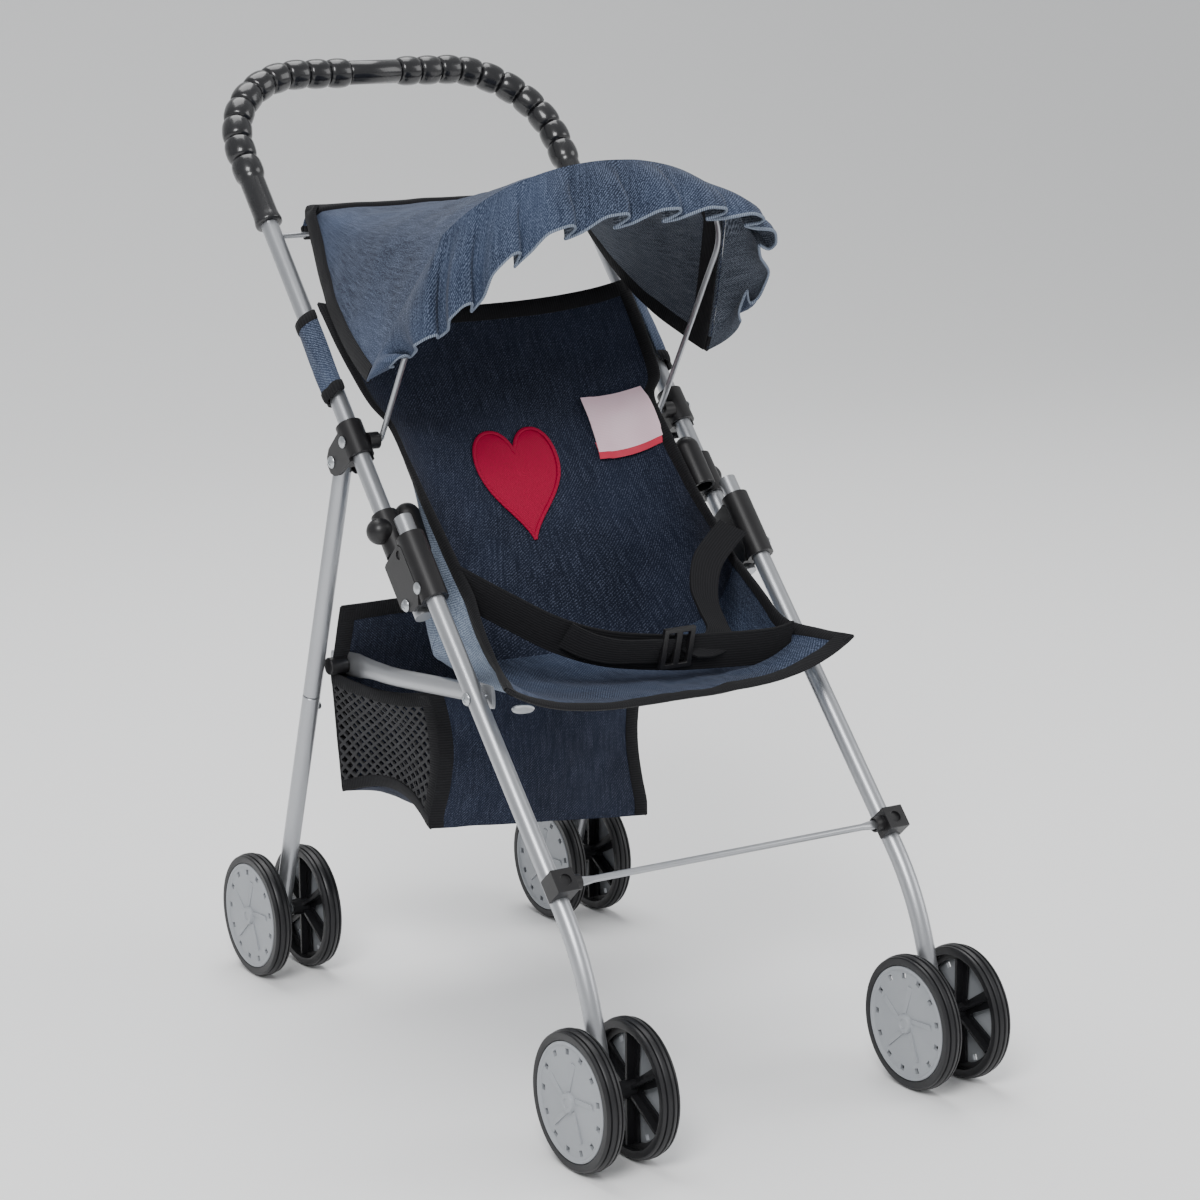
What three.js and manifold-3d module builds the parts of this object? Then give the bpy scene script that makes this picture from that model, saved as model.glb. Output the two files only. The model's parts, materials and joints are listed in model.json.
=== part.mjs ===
// Folding doll stroller: bent tube frame, hinged handle, sling seat, canopy, basket, twin wheels.
// Millimetres, +Z up. The stroller faces -Y and the axles run along X.
import * as THREE from 'three';
import { mergeVertices } from 'three/addons/utils/BufferGeometryUtils.js';
import Module from 'manifold-3d';

const wasm = await Module();
wasm.setup();

// ---- driving dimensions ----
const TUBE_R = 5.5;
const WIRE_R = 1.75;
const GAP = 0.3;
const FRONT_TRACK = 115.2;
const REAR_TRACK = 111.2;
const WHEEL_R = 40;
const FRONT_AXLE_Y = -212.6;
const REAR_AXLE_Y = 184.5;
const AXLE_R = 2;
const PIN_R = 1.5;
const PIN_HOLE_R = PIN_R + 0.2;
const HANDLE_TOP = 400.3;
const HANDLE_BEND = 61.5;
const HANDLE_FOOT = 2;
const FOLD_ALONG = 11;
const LEG_OFFSET = 18.3;
const LEG_TOP = 59.3;
const KNEE = [-190.6, 109.7];
const KNEE_BEND = 147;
const REAR_PIVOT = [77, 351];
const REAR_SEAM_Z = 195;
const BAR_FRONT = [-76, 235.4];
const BAR_REAR = [118.7, 214.7];
const BOW_PIVOT = [57.9, 365.2];
const BOW_X = 100;
const CLOTH = 2.6;

// Side-plane frame: "along" runs up the handle, "n" points up and forward from it.
const ORIGIN = [-20, 270.7];
const SLOPE = Math.atan2(0.75371, 0.65721);
const UP = [Math.cos(SLOPE), Math.sin(SLOPE)];
const OUT = [-Math.sin(SLOPE), Math.cos(SLOPE)];
const V = (x, y, z) => new THREE.Vector3(x, y, z);
const at = (along, n, x) => V(
  x,
  ORIGIN[0] + along * UP[0] + n * OUT[0],
  ORIGIN[1] + along * UP[1] + n * OUT[1],
);

// ---- mesh helpers ----
function plain(geometry) {
  const bare = geometry.clone();
  for (const name of ['normal', 'uv', 'color']) {
    if (bare.getAttribute(name)) bare.deleteAttribute(name);
  }
  return mergeVertices(bare, 1e-4);
}

function volume(geometry) {
  const p = geometry.getAttribute('position');
  const index = geometry.getIndex().array;
  const [a, b, c] = [V(0, 0, 0), V(0, 0, 0), V(0, 0, 0)];
  let sum = 0;
  for (let i = 0; i < index.length; i += 3) {
    a.fromBufferAttribute(p, index[i]);
    b.fromBufferAttribute(p, index[i + 1]);
    c.fromBufferAttribute(p, index[i + 2]);
    sum += a.dot(b.cross(c)) / 6;
  }
  return sum;
}

function outward(geometry) {
  const solid = plain(geometry);
  if (volume(solid) > 0) return solid;
  const index = solid.getIndex();
  for (let i = 0; i < index.count; i += 3) {
    const b = index.getX(i + 1);
    index.setX(i + 1, index.getX(i + 2));
    index.setX(i + 2, b);
  }
  return solid;
}

function toManifold(geometry) {
  const solid = outward(geometry);
  return new wasm.Manifold(new wasm.Mesh({
    numProp: 3,
    vertProperties: new Float32Array(solid.getAttribute('position').array),
    triVerts: new Uint32Array(solid.getIndex().array),
  }));
}

function fromManifold(body) {
  const mesh = body.getMesh();
  const geometry = new THREE.BufferGeometry();
  geometry.setAttribute('position', new THREE.BufferAttribute(mesh.vertProperties, 3));
  geometry.setIndex(new THREE.BufferAttribute(mesh.triVerts, 1));
  return geometry;
}

function join(...parts) {
  return fromManifold(parts.map(toManifold).reduce((a, b) => a.add(b)));
}

function cut(body, ...tools) {
  return fromManifold(tools.map(toManifold).reduce((a, b) => a.subtract(b), toManifold(body)));
}

function common(a, b) {
  return fromManifold(toManifold(a).intersect(toManifold(b)));
}

// Straight round bar between two points.
function bar(from, to, r, sides = 16) {
  const axis = to.clone().sub(from);
  const geometry = new THREE.CylinderGeometry(r, r, axis.length(), sides);
  geometry.applyQuaternion(new THREE.Quaternion().setFromUnitVectors(V(0, 1, 0), axis.normalize()));
  geometry.translate((from.x + to.x) / 2, (from.y + to.y) / 2, (from.z + to.z) / 2);
  return geometry;
}

// Solid of revolution about the line from one point along a direction; profile is [radius, distance].
function turned(from, direction, profile, sides = 12) {
  const geometry = new THREE.LatheGeometry(profile.map(([r, h]) => new THREE.Vector2(r, h)), sides);
  const aim = direction.clone().normalize();
  geometry.applyQuaternion(new THREE.Quaternion().setFromUnitVectors(V(0, 1, 0), aim));
  geometry.translate(from.x, from.y, from.z);
  return outward(geometry);
}

// Corner list with each inner corner replaced by an arc of the given radius, a point every few degrees.
function rounded(corners, radii, degrees) {
  const path = [corners[0]];
  for (let i = 1; i < corners.length - 1; i += 1) {
    const before = corners[i - 1].clone().sub(corners[i]).normalize();
    const after = corners[i + 1].clone().sub(corners[i]).normalize();
    const turn = Math.PI - before.angleTo(after);
    const reach = radii[i - 1] * Math.tan(turn / 2);
    const start = corners[i].clone().addScaledVector(before, reach);
    const centre = corners[i].clone().addScaledVector(
      before.clone().add(after).normalize(),
      radii[i - 1] / Math.cos(turn / 2),
    );
    const spoke = start.clone().sub(centre);
    const ahead = before.clone().multiplyScalar(-radii[i - 1]);
    const steps = Math.max(1, Math.round(turn * 180 / Math.PI / degrees));
    for (let k = 0; k <= steps; k += 1) {
      const angle = turn * k / steps;
      const arm = spoke.clone().multiplyScalar(Math.cos(angle)).addScaledVector(ahead, Math.sin(angle));
      path.push(arm.add(centre));
    }
  }
  path.push(corners[corners.length - 1]);
  return path;
}

// Path with its own section frames: side fixes how the section lies, size(i) scales it at point i.
class Route extends THREE.Curve {
  constructor(points, side, size) {
    super();
    Object.assign(this, { points, side, size });
  }

  getSpacedPoints() {
    return this.points;
  }

  computeFrenetFrames() {
    const frames = { tangents: [], normals: [], binormals: [] };
    this.points.forEach((point, i) => {
      const next = this.points[Math.min(i + 1, this.points.length - 1)];
      const ahead = next.clone().sub(this.points[Math.max(i - 1, 0)]).normalize();
      const u = this.side.clone().addScaledVector(ahead, -this.side.dot(ahead)).normalize();
      const [across, along] = this.size(i);
      frames.tangents.push(ahead);
      frames.binormals.push(ahead.clone().cross(u).multiplyScalar(along));
      frames.normals.push(u.multiplyScalar(across));
    });
    return frames;
  }
}

// Round section carried along a path.
function swept(path, side, size, sides = 10) {
  const ring = [];
  for (let k = 0; k < sides; k += 1) {
    const angle = 2 * Math.PI * k / sides;
    ring.push(new THREE.Vector2(Math.cos(angle), Math.sin(angle)));
  }
  return outward(new THREE.ExtrudeGeometry(new THREE.Shape(ring), {
    steps: path.length - 1,
    extrudePath: new Route(path, side, size),
  }));
}

// Swept body with a round bore right through it, along the same path unless centre is given.
function sleeved(path, side, size, sides, bore, centre = path) {
  const last = centre.length - 1;
  const longer = [...centre];
  const beyond = (end, next) => end.clone().add(end.clone().sub(next).setLength(2));
  longer[0] = beyond(centre[0], centre[1]);
  longer[last] = beyond(centre[last], centre[last - 1]);
  return cut(swept(path, side, size, sides), swept(longer, side, () => [bore, bore], 10));
}

// Flat outline in the side plane, [along, n] corners, spread from x0 to x1.
function plate(outline, x0, x1) {
  const shape = new THREE.Shape(outline.map(([a, n]) => {
    const p = at(a, n, 0);
    return new THREE.Vector2(p.y, p.z);
  }));
  const geometry = new THREE.ExtrudeGeometry(shape, { depth: Math.abs(x1 - x0), bevelEnabled: false });
  geometry.applyMatrix4(new THREE.Matrix4().makeBasis(V(0, 1, 0), V(0, 0, 1), V(1, 0, 0)));
  geometry.translate(Math.min(x0, x1), 0, 0);
  return geometry;
}

// Cloth of even thickness laid over a grid of points.
function cloth(grid, thickness) {
  const rows = grid.length - 1;
  const cols = grid[0].length - 1;
  const point = (i, j) => grid[Math.min(Math.max(i, 0), rows)][Math.min(Math.max(j, 0), cols)];
  const sheet = new THREE.BoxGeometry(cols, rows, 1, cols, rows, 1);
  const p = sheet.getAttribute('position');
  for (let k = 0; k < p.count; k += 1) {
    const j = Math.round(p.getX(k) + cols / 2);
    const i = Math.round(p.getY(k) + rows / 2);
    const down = point(i + 1, j).clone().sub(point(i - 1, j));
    const across = point(i, j + 1).clone().sub(point(i, j - 1));
    const q = point(i, j).clone().addScaledVector(down.cross(across).normalize(), p.getZ(k) * thickness);
    p.setXYZ(k, q.x, q.y, q.z);
  }
  return outward(sheet);
}

// ---- materials ----
const FINISH = {
  silver: [0x9aa0a8, 0.38, 0.75],
  zinc: [0xb9bcc0, 0.3, 0.9],
  black: [0x101113, 0.35, 0],
  grip: [0x0b0b0d, 0.22, 0],
  tyre: [0x0e0f11, 0.4, 0],
  grey: [0xa9aeb6, 0.45, 0],
  denim: [0x27344f, 0.9, 0],
  denimLight: [0x5b7496, 0.9, 0],
  webbing: [0x111214, 0.85, 0],
  crimson: [0xb3103c, 0.55, 0],
};

const stroller = new THREE.Group();
stroller.name = 'doll_stroller';

function put(name, geometry, finish) {
  const [color, roughness, metalness] = FINISH[finish];
  const solid = plain(geometry);
  solid.computeVertexNormals();
  const mesh = new THREE.Mesh(solid, new THREE.MeshStandardMaterial({ color, roughness, metalness }));
  mesh.material.name = `${name}_mat`;
  mesh.name = name;
  stroller.add(mesh);
}

const X = V(1, 0, 0);
const round = (r) => () => [r, r];

// ---- handle: one bent tube, two bead grips and a plain middle sleeve ----
const handlePath = rounded([
  at(HANDLE_FOOT, 0, -FRONT_TRACK),
  at(HANDLE_TOP, 0, -FRONT_TRACK),
  at(HANDLE_TOP, 0, FRONT_TRACK),
  at(HANDLE_FOOT, 0, FRONT_TRACK),
], [HANDLE_BEND, HANDLE_BEND], 15);
const outVector = at(0, 1, 0).sub(at(0, 0, 0));
const foldHole = bar(at(FOLD_ALONG, 0, -140), at(FOLD_ALONG, 0, 140), PIN_HOLE_R, 10);
const rearWireHoles = [-1, 1].map((s) => bar(
  at(275, 2, s * (FRONT_TRACK - 2)),
  at(275, 2, s * (FRONT_TRACK - 12)),
  WIRE_R + 0.3,
  10,
));
put('handle_tube', cut(swept(handlePath, outVector, round(TUBE_R)), foldHole, ...rearWireHoles), 'silver');

const GRIP_START = 285.3;
const BEADS_START = 320;
const SLEEVE_HALF = 18;
const BEAD_PITCH = 15;
const BEAD_R = 9.5;
const NECK_R = 7.2;
for (const [s, name] of [[-1, 'left'], [1, 'right']]) {
  const corners = [
    at(GRIP_START, 0, s * FRONT_TRACK),
    at(HANDLE_TOP, 0, s * FRONT_TRACK),
    at(HANDLE_TOP, 0, s * (SLEEVE_HALF + GAP)),
  ];
  const bend = rounded(corners, [HANDLE_BEND], 4);
  const curve = new THREE.CurvePath();
  for (let i = 0; i < bend.length - 1; i += 1) curve.add(new THREE.LineCurve3(bend[i], bend[i + 1]));
  const length = curve.getLength();
  const plainPart = BEADS_START - GRIP_START;
  const beads = Math.round((length - plainPart) / BEAD_PITCH);
  const pitch = (length - plainPart) / beads;
  const stations = [[0, 8.6], [6, 7.9], [plainPart - 2, 7.9]];
  for (let i = 0; i < beads; i += 1) {
    const start = plainPart + i * pitch;
    stations.push([start, NECK_R], [start + 0.5 * pitch, BEAD_R]);
  }
  stations.push([length, NECK_R]);
  const path = stations.map(([distance]) => curve.getPointAt(distance / length));
  const beadSize = (i) => [stations[i][1], stations[i][1]];
  const tubeLine = rounded(corners, [HANDLE_BEND], 15);
  put(`grip_${name}`, sleeved(path, outVector, beadSize, 8, TUBE_R + 0.35, tubeLine), 'grip');
}
put('grip_centre_sleeve', sleeved(
  [at(HANDLE_TOP, 0, -SLEEVE_HALF), at(HANDLE_TOP, 0, SLEEVE_HALF)],
  outVector,
  round(7.8),
  12,
  TUBE_R + 0.35,
), 'grip');

// ---- canopy wires ----
const BOW_UP = [-0.512, 0.859];
const BOW_STRAIGHT = 120;
const BOW_RISE = 68;
const bowPoint = (x, rise, off = 0) => V(
  x,
  BOW_PIVOT[0] + rise * BOW_UP[0] + off * BOW_UP[1],
  BOW_PIVOT[1] + rise * BOW_UP[1] - off * BOW_UP[0],
);
const bowPath = [bowPoint(-BOW_X - 7, 0), bowPoint(-BOW_X - 1.2, 0), bowPoint(-BOW_X, 1.2)];
for (let k = 0; k <= 14; k += 1) {
  const angle = Math.PI * k / 14;
  bowPath.push(bowPoint(-BOW_X * Math.cos(angle), BOW_STRAIGHT + BOW_RISE * Math.sin(angle)));
}
bowPath.push(bowPoint(BOW_X, 1.2), bowPoint(BOW_X + 1.2, 0), bowPoint(BOW_X + 7, 0));
put('canopy_bow', swept(bowPath, bowPoint(0, 0, 1).sub(bowPoint(0, 0)), round(WIRE_R), 7), 'silver');
put('canopy_rear_wire', bar(
  at(275, 2, -FRONT_TRACK + 3),
  at(275, 2, FRONT_TRACK - 3),
  WIRE_R,
  8,
), 'silver');

// ---- frame joints, legs and pivots, once per side ----
const legLine = [
  at(LEG_TOP, LEG_OFFSET, 0),
  at(2.8, LEG_OFFSET, 0),
  V(0, ...KNEE),
  V(0, FRONT_AXLE_Y - 2.4, WHEEL_R - 8),
];
const rearTop = V(FRONT_TRACK, ...REAR_PIVOT);
const rearFoot = V(REAR_TRACK, REAR_AXLE_Y, WHEEL_R);
const rearAt = (z) => rearTop.clone().lerp(rearFoot, (REAR_PIVOT[1] - z) / (REAR_PIVOT[1] - WHEEL_R));
const COLLAR = {
  left: { dome: 72.9, cup: -15 },
  right: { dome: 87.5, cup: 140 },
};

for (const [s, name, tag] of [[-1, 'left', 'l'], [1, 'right', 'r']]) {
  const track = s * FRONT_TRACK;
  const side = (along, n, outwards) => at(along, n, track + s * outwards);
  const flip = (p) => V(s * p.x, p.y, p.z);
  const through = (along, n, r) => bar(side(along, n, -20), side(along, n, 20), r, 10);

  // Front leg: Ø11 tube, straight from the mid bracket to a long knee above the axle.
  const leg = swept(
    rounded(legLine.map((p) => V(track, p.y, p.z)), [400, KNEE_BEND], 6),
    X,
    round(TUBE_R),
  );
  const acrossLeg = (y, z, r) => bar(V(track - 20, y, z), V(track + 20, y, z), r, 10);
  const axleHole = acrossLeg(FRONT_AXLE_Y, WHEEL_R, AXLE_R + 0.15);
  const barHole = acrossLeg(...BAR_FRONT, PIN_HOLE_R);
  const legRivetHole = through(11.8, LEG_OFFSET, PIN_HOLE_R);
  put(`front_leg_${tag}`, cut(leg, axleHole, barHole, legRivetHole), 'silver');

  // Mid bracket: barrel round the leg top, two cheeks that straddle the handle tube.
  const barrel = bar(side(2.8, LEG_OFFSET, 0), side(46.4, LEG_OFFSET, 0), 8.5, 14);
  const cheeks = plate(
    [[42, -6.8], [43.5, 15], [40, 18], [10, 18], [3.5, 13], [4.5, 3.8], [12.4, -6.8]],
    track - 8.75,
    track + 8.75,
  );
  const slot = plate([[-30, -30], [80, -30], [80, 6.4], [-30, 6.4]], track - 5.9, track + 5.9);
  const stubRoom = bar(side(FOLD_ALONG, 0, -5.9), side(FOLD_ALONG, 0, 5.9), 11.4, 14);
  const legBore = bar(side(-10, LEG_OFFSET, 0), side(60, LEG_OFFSET, 0), TUBE_R + 0.45, 12);
  put(`mid_bracket_${tag}`, cut(
    join(barrel, cheeks),
    legBore,
    slot,
    stubRoom,
    through(FOLD_ALONG, 0, PIN_HOLE_R),
    legRivetHole,
  ), 'black');

  // Upper bracket: sleeve on the handle tube, clevis ear for the rear leg, lug for the canopy bow.
  const sleeve = bar(side(113.6, 0, 0), side(136.7, 0, 0), 8.2, 14);
  const ear = plate(
    [[133, 0], [132, -21], [128, -26], [120, -26.5], [114, -20.4], [111, 0]],
    track - 8.3,
    track + 8.3,
  );
  const lug = bar(V(track - s * 6, ...BOW_PIVOT), V(s * (BOW_X + 2.3), ...BOW_PIVOT), 5.2, 10);
  const lugBore = bar(
    V(s * (BOW_X + 7.6), ...BOW_PIVOT),
    V(s * (BOW_X - 5), ...BOW_PIVOT),
    WIRE_R + 0.25,
    10,
  );
  const earSlot = plate([[100, -40], [112, -8.6], [140, -8.6], [145, -40]], track - 5.9, track + 5.9);
  const handleBore = bar(side(105, 0, 0), side(145, 0, 0), TUBE_R + 0.45, 12);
  const rearPin = acrossLeg(...REAR_PIVOT, PIN_HOLE_R);
  put(`upper_bracket_${tag}`, cut(
    join(sleeve, ear, lug),
    handleBore,
    earSlot,
    lugBore,
    rearPin,
  ), 'black');

  // Rear leg: upper tube with a reduced spigot, lower tube pushed over it, spring button in the joint.
  const down = flip(rearFoot).sub(flip(rearTop)).normalize();
  const seam = flip(rearAt(REAR_SEAM_Z));
  const top = flip(rearTop).addScaledVector(down, -5.6);
  const seamAt = seam.clone().sub(top).dot(down);
  const upper = turned(top, down, [
    [0, 0], [3.8, 0], [TUBE_R, 2.2], [TUBE_R, seamAt], [4.1, seamAt], [4.1, seamAt + 22], [0, seamAt + 22],
  ]);
  const button = seam.clone().addScaledVector(down, 9);
  const buttonAt = (inwards) => button.clone().add(V(-s * inwards, 0, 0));
  put(`rear_leg_upper_${tag}`, cut(upper, rearPin, bar(buttonAt(0), buttonAt(12), 2.8, 12)), 'silver');
  const footAt = flip(rearFoot).sub(seam).dot(down) + 8;
  const lower = turned(seam, down, [
    [4.5, GAP], [TUBE_R, GAP], [TUBE_R, footAt], [0, footAt], [0, 24], [4.5, 24], [4.5, GAP],
  ]);
  const rearAxleHole = bar(
    V(s * (REAR_TRACK - 20), REAR_AXLE_Y, WHEEL_R),
    V(s * (REAR_TRACK + 20), REAR_AXLE_Y, WHEEL_R),
    AXLE_R + 0.15,
    10,
  );
  put(`rear_leg_lower_${tag}`, cut(lower, rearAxleHole, bar(buttonAt(3), buttonAt(12), 2.8, 12)), 'silver');
  put(`snap_button_${tag}`, turned(buttonAt(2.4), V(-s, 0, 0), [
    [0, 0], [2.4, 0], [2.4, 4.2], [1.4, 5.1], [0, 5.1],
  ], 12), 'zinc');

  // Seat bar: Ø11 tube pressed flat at both ends, bent towards the middle of the stroller.
  const barPath = [
    V(s * 107.4, BAR_FRONT[0] - 7.7, 236.2),
    V(s * 107.4, BAR_FRONT[0] + 6, 234.7),
    V(s * 104, -56, 233.1),
    V(s * 102, -4, 227.1),
    V(s * 100, 48, 221.4),
    V(s * 96, 80, 218.4),
    V(s * 93.2, 103, 216.2),
    V(s * 93.2, BAR_REAR[0] + 4, 214.3),
    V(s * 93.2, 140, 212.6),
  ];
  const flats = [[1.5, 7.7], [1.5, 7.7], [TUBE_R, TUBE_R], [TUBE_R, TUBE_R], [TUBE_R, TUBE_R],
    [4.6, 6.2], [1.5, 7.7], [1.5, 7.7], [1.5, 7.7]];
  const seatBar = swept(barPath, X, (i) => flats[i], 10);
  const rearBarHole = bar(V(s * 80, ...BAR_REAR), V(s * 105, ...BAR_REAR), PIN_R + 0.3, 10);
  put(`seat_bar_${tag}`, cut(seatBar, barHole, rearBarHole), 'silver');
  put(`seat_bar_spacer_${tag}`, turned(V(s * 107.4, ...BAR_REAR), V(-s, 0, 0), [
    [0, 0], [5.5, 0], [5.5, 12.2], [PIN_R, 12.2], [PIN_R, 16.2], [4, 16.2], [2.6, 17.6], [0, 17.6],
  ], 10), 'black');

  // Rivets with domed heads on both sides.
  const rivet = (from, to) => {
    const axis = to.clone().sub(from);
    const reach = axis.length();
    return turned(from, axis, [
      [0, -1.8], [3.9, -0.6], [3.9, 0], [PIN_R, 0],
      [PIN_R, reach], [3.9, reach], [3.9, reach + 0.6], [0, reach + 1.8],
    ], 10);
  };
  const foldRivet = rivet(side(FOLD_ALONG, 0, -9.05), side(FOLD_ALONG, 0, 9.05));
  const legPivotRivet = rivet(V(track - 8.6, ...REAR_PIVOT), V(track + 8.6, ...REAR_PIVOT));
  const barRivet = rivet(V(s * 105.6, ...BAR_FRONT), V(s * (FRONT_TRACK + 5.8), ...BAR_FRONT));
  put(`fold_rivet_${tag}`, foldRivet, 'zinc');
  put(`leg_pivot_rivet_${tag}`, legPivotRivet, 'zinc');
  put(`bar_rivet_${tag}`, barRivet, 'zinc');

  // Lock collar: short sleeve on the handle tube, domed cup on one side, ball knob on the other.
  const { dome, cup } = COLLAR[name];
  const turn = cup * Math.PI / 180;
  const ring = (along, distance) => at(
    along,
    distance * Math.sin(turn),
    track + distance * Math.cos(turn),
  );
  const mouth = dome - 28;
  const cupBody = turned(ring(mouth, LEG_OFFSET), at(1, 0, 0).sub(at(0, 0, 0)), [
    [0, 0], [8, 0], [8, 28], [6.4, 33], [0, 36],
  ], 12);
  const cupRoom = bar(ring(mouth - 5, LEG_OFFSET), ring(dome - 2, LEG_OFFSET), TUBE_R + 0.4, 12);
  const collarSleeve = bar(side(mouth, 0, 0), side(dome, 0, 0), 8, 14);
  const web = bar(ring(mouth + 2, 9.2), ring(mouth + 24, 9.2), 3, 8);
  const ball = new THREE.SphereGeometry(8, 10, 7);
  const ballCentre = ring(mouth + 16, -8.5);
  ball.translate(ballCentre.x, ballCentre.y, ballCentre.z);
  put(`lock_collar_${tag}`, cut(
    join(collarSleeve, web, cupBody, ball),
    cupRoom,
    bar(side(mouth - 10, 0, 0), side(dome + 20, 0, 0), TUBE_R + 0.45, 12),
  ), 'black');

  // Crossbar fitting: block saddled on the front of the leg.
  const fitting = V(s * FRONT_TRACK, -166.2, 147.2);
  const lean = Math.atan2(284.84 - KNEE[1], -31.95 - KNEE[0]);
  const block = new THREE.BoxGeometry(13, 14, 13);
  block.translate(-s * 0.5, 0, 0);
  const lobe = bar(V(-s * 5, 0, 0), V(-s * 13, 0, 0), 4.6, 10);
  const blockBody = join(block, lobe);
  blockBody.applyMatrix4(new THREE.Matrix4().makeRotationX(lean - Math.PI / 2));
  blockBody.translate(fitting.x, fitting.y, fitting.z);
  const legCore = swept(
    rounded(legLine.map((p) => V(track, p.y, p.z)), [400, KNEE_BEND], 6),
    X,
    round(TUBE_R + 0.35),
  );
  const rodBore = bar(fitting.clone().setX(s * (FRONT_TRACK - 5.2)), fitting.clone().setX(s * 90), 2.4, 10);
  put(`crossbar_fitting_${tag}`, cut(blockBody, legCore, rodBore), 'black');
}
const crossbarEnd = V(FRONT_TRACK - 6, -166.2, 147.2);
put('crossbar', bar(crossbarEnd.clone().setX(-crossbarEnd.x), crossbarEnd, 2, 10), 'silver');

// ---- twin wheels, clipped caps and axles ----
const wheelSets = [
  ['front_left', -FRONT_TRACK, FRONT_AXLE_Y],
  ['front_right', FRONT_TRACK, FRONT_AXLE_Y],
  ['rear_left', -REAR_TRACK, REAR_AXLE_Y],
  ['rear_right', REAR_TRACK, REAR_AXLE_Y],
];
for (const [name, x, y] of wheelSets) {
  put(`axle_${name}`, bar(V(x - 24, y, WHEEL_R), V(x + 24, y, WHEEL_R), AXLE_R, 10), 'zinc');
  for (const [s, place] of [[Math.sign(x), 'outer'], [-Math.sign(x), 'inner']]) {
    const hub = V(x, y, WHEEL_R);
    put(`wheel_${name}_${place}`, turned(hub, V(s, 0, 0), [
      [2.1, 6.6], [5, 6.6], [5, 17.2], [33, 17.2], [33, 12.2], [38.8, 12.2], [40, 14.6], [40, 21.2],
      [38.8, 23.6], [34.3, 23.6], [34.3, 19.2], [2.1, 19.2], [2.1, 6.6],
    ], 16), 'tyre');
    put(`wheel_cap_${name}_${place}`, turned(hub, V(s, 0, 0), [
      [0, 24.4], [2.5, 24.4], [2.5, 19.6], [33.8, 19.6], [33.8, 23.8], [6.4, 23.2], [5.4, 25.9], [0, 25.9],
    ], 16), 'grey');
  }
}

// ---- sling seat: one cloth, sewn across at the crease ----
// Rows give [along, n] at the middle, [along, n] at the side rim and the rim's half width, left and right.
const BACK_ROWS = [
  [[214, 4], [217, 12], 111, 111],
  [[180, -4], [184, 13], 109, 109],
  [[145, -10], [145, 13.7], 104, 104],
  [[127, -12.5], [127, 14], 96.5, 91.5],
  [[97, -18], [97, 15], 96, 91.5],
  [[57, -30], [57, 17], 96, 91.5],
  [[22, -40], [28, 19], 97, 95],
  [[-11.5, -46.5], [1, 21.5], 98, 98],
];
const SEAT_COLS = 12;
function slingRow([middle, rim, left, right], lift) {
  const row = [];
  for (let j = 0; j <= SEAT_COLS; j += 1) {
    const u = -1 + 2 * j / SEAT_COLS;
    const along = middle[0] + (rim[0] - middle[0]) * u * u;
    const n = middle[1] + (rim[1] - middle[1]) * u ** 4;
    row.push(at(along, n + lift, u * (u < 0 ? left : right)));
  }
  return row;
}
put('seat_back', cloth(BACK_ROWS.map((row) => slingRow(row, 0)), CLOTH), 'denim');

const BASE_ROWS = [
  [[7.4, 226.4], [-39, 281.2], 98.5],
  [[-30, 226.5], [-57, 268], 102],
  [[-65, 228.5], [-76, 254.5], 103.4],
  [[-98, 233], [-99, 251], 112],
  [[-125, 237], [-120.4, 249.8], 121.5],
];
put('seat_base', cloth(BASE_ROWS.map(([middle, rim, half]) => {
  const row = [];
  for (let j = 0; j <= SEAT_COLS; j += 1) {
    const u = -1 + 2 * j / SEAT_COLS;
    row.push(V(
      u * half,
      middle[0] + (rim[0] - middle[0]) * u * u,
      middle[1] + (rim[1] - middle[1]) * u ** 4,
    ));
  }
  return row;
}), CLOTH), 'denim');

// Heart patch sewn to the middle of the back.
const heart = new THREE.Shape();
heart.moveTo(0, 57);
heart.bezierCurveTo(5, 73, 31.5, 86, 31.5, 108);
heart.bezierCurveTo(31.5, 122, 23, 129, 15, 129);
heart.bezierCurveTo(7, 129, 1.5, 123, 0, 116);
heart.bezierCurveTo(-1.5, 123, -7, 129, -15, 129);
heart.bezierCurveTo(-23, 129, -31.5, 122, -31.5, 108);
heart.bezierCurveTo(-31.5, 86, -5, 73, 0, 57);
const heartBlock = new THREE.ExtrudeGeometry(heart, { depth: 60, bevelEnabled: false, curveSegments: 5 });
heartBlock.translate(0, 0, -50);
heartBlock.applyMatrix4(new THREE.Matrix4().makeBasis(X, at(1, 0, 0).sub(at(0, 0, 0)), outVector));
heartBlock.translate(...at(0, 0, 0).toArray());
const patchSheet = cloth(BACK_ROWS.slice(2, 7).map((row) => slingRow(row, CLOTH / 2 + 1.1)), 1);
put('heart_patch', common(heartBlock, patchSheet), 'crimson');

// Waist strap with a slider in front of the lap.
const strapLine = [
  [-89, -39, 291], [-74, -44, 280], [-58, -57, 266], [-28, -74, 257], [14, -86, 252],
  [50, -74, 258], [74, -52, 274], [89, -38, 290],
];
const strapEdge = (half) => strapLine.map(([x, y, z]) => V(x, y - half * 0.25, z + half));
put('harness', cloth([strapEdge(-10), strapEdge(10)], 1.6), 'webbing');
const windowAt = (x) => {
  const hole = new THREE.BoxGeometry(5.5, 20, 8);
  hole.translate(x, 0, 1.5);
  return hole;
};
const buckleBlank = new THREE.BoxGeometry(22, 26, 3);
buckleBlank.translate(0, 0, 1.5);
const buckleBody = cut(buckleBlank, windowAt(-4.75), windowAt(4.75));
buckleBody.applyMatrix4(new THREE.Matrix4().makeBasis(X, V(0, -0.243, 0.97), V(0, -0.97, -0.243)));
buckleBody.translate(14, -88.6, 251.4);
put('buckle', buckleBody, 'black');

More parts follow.
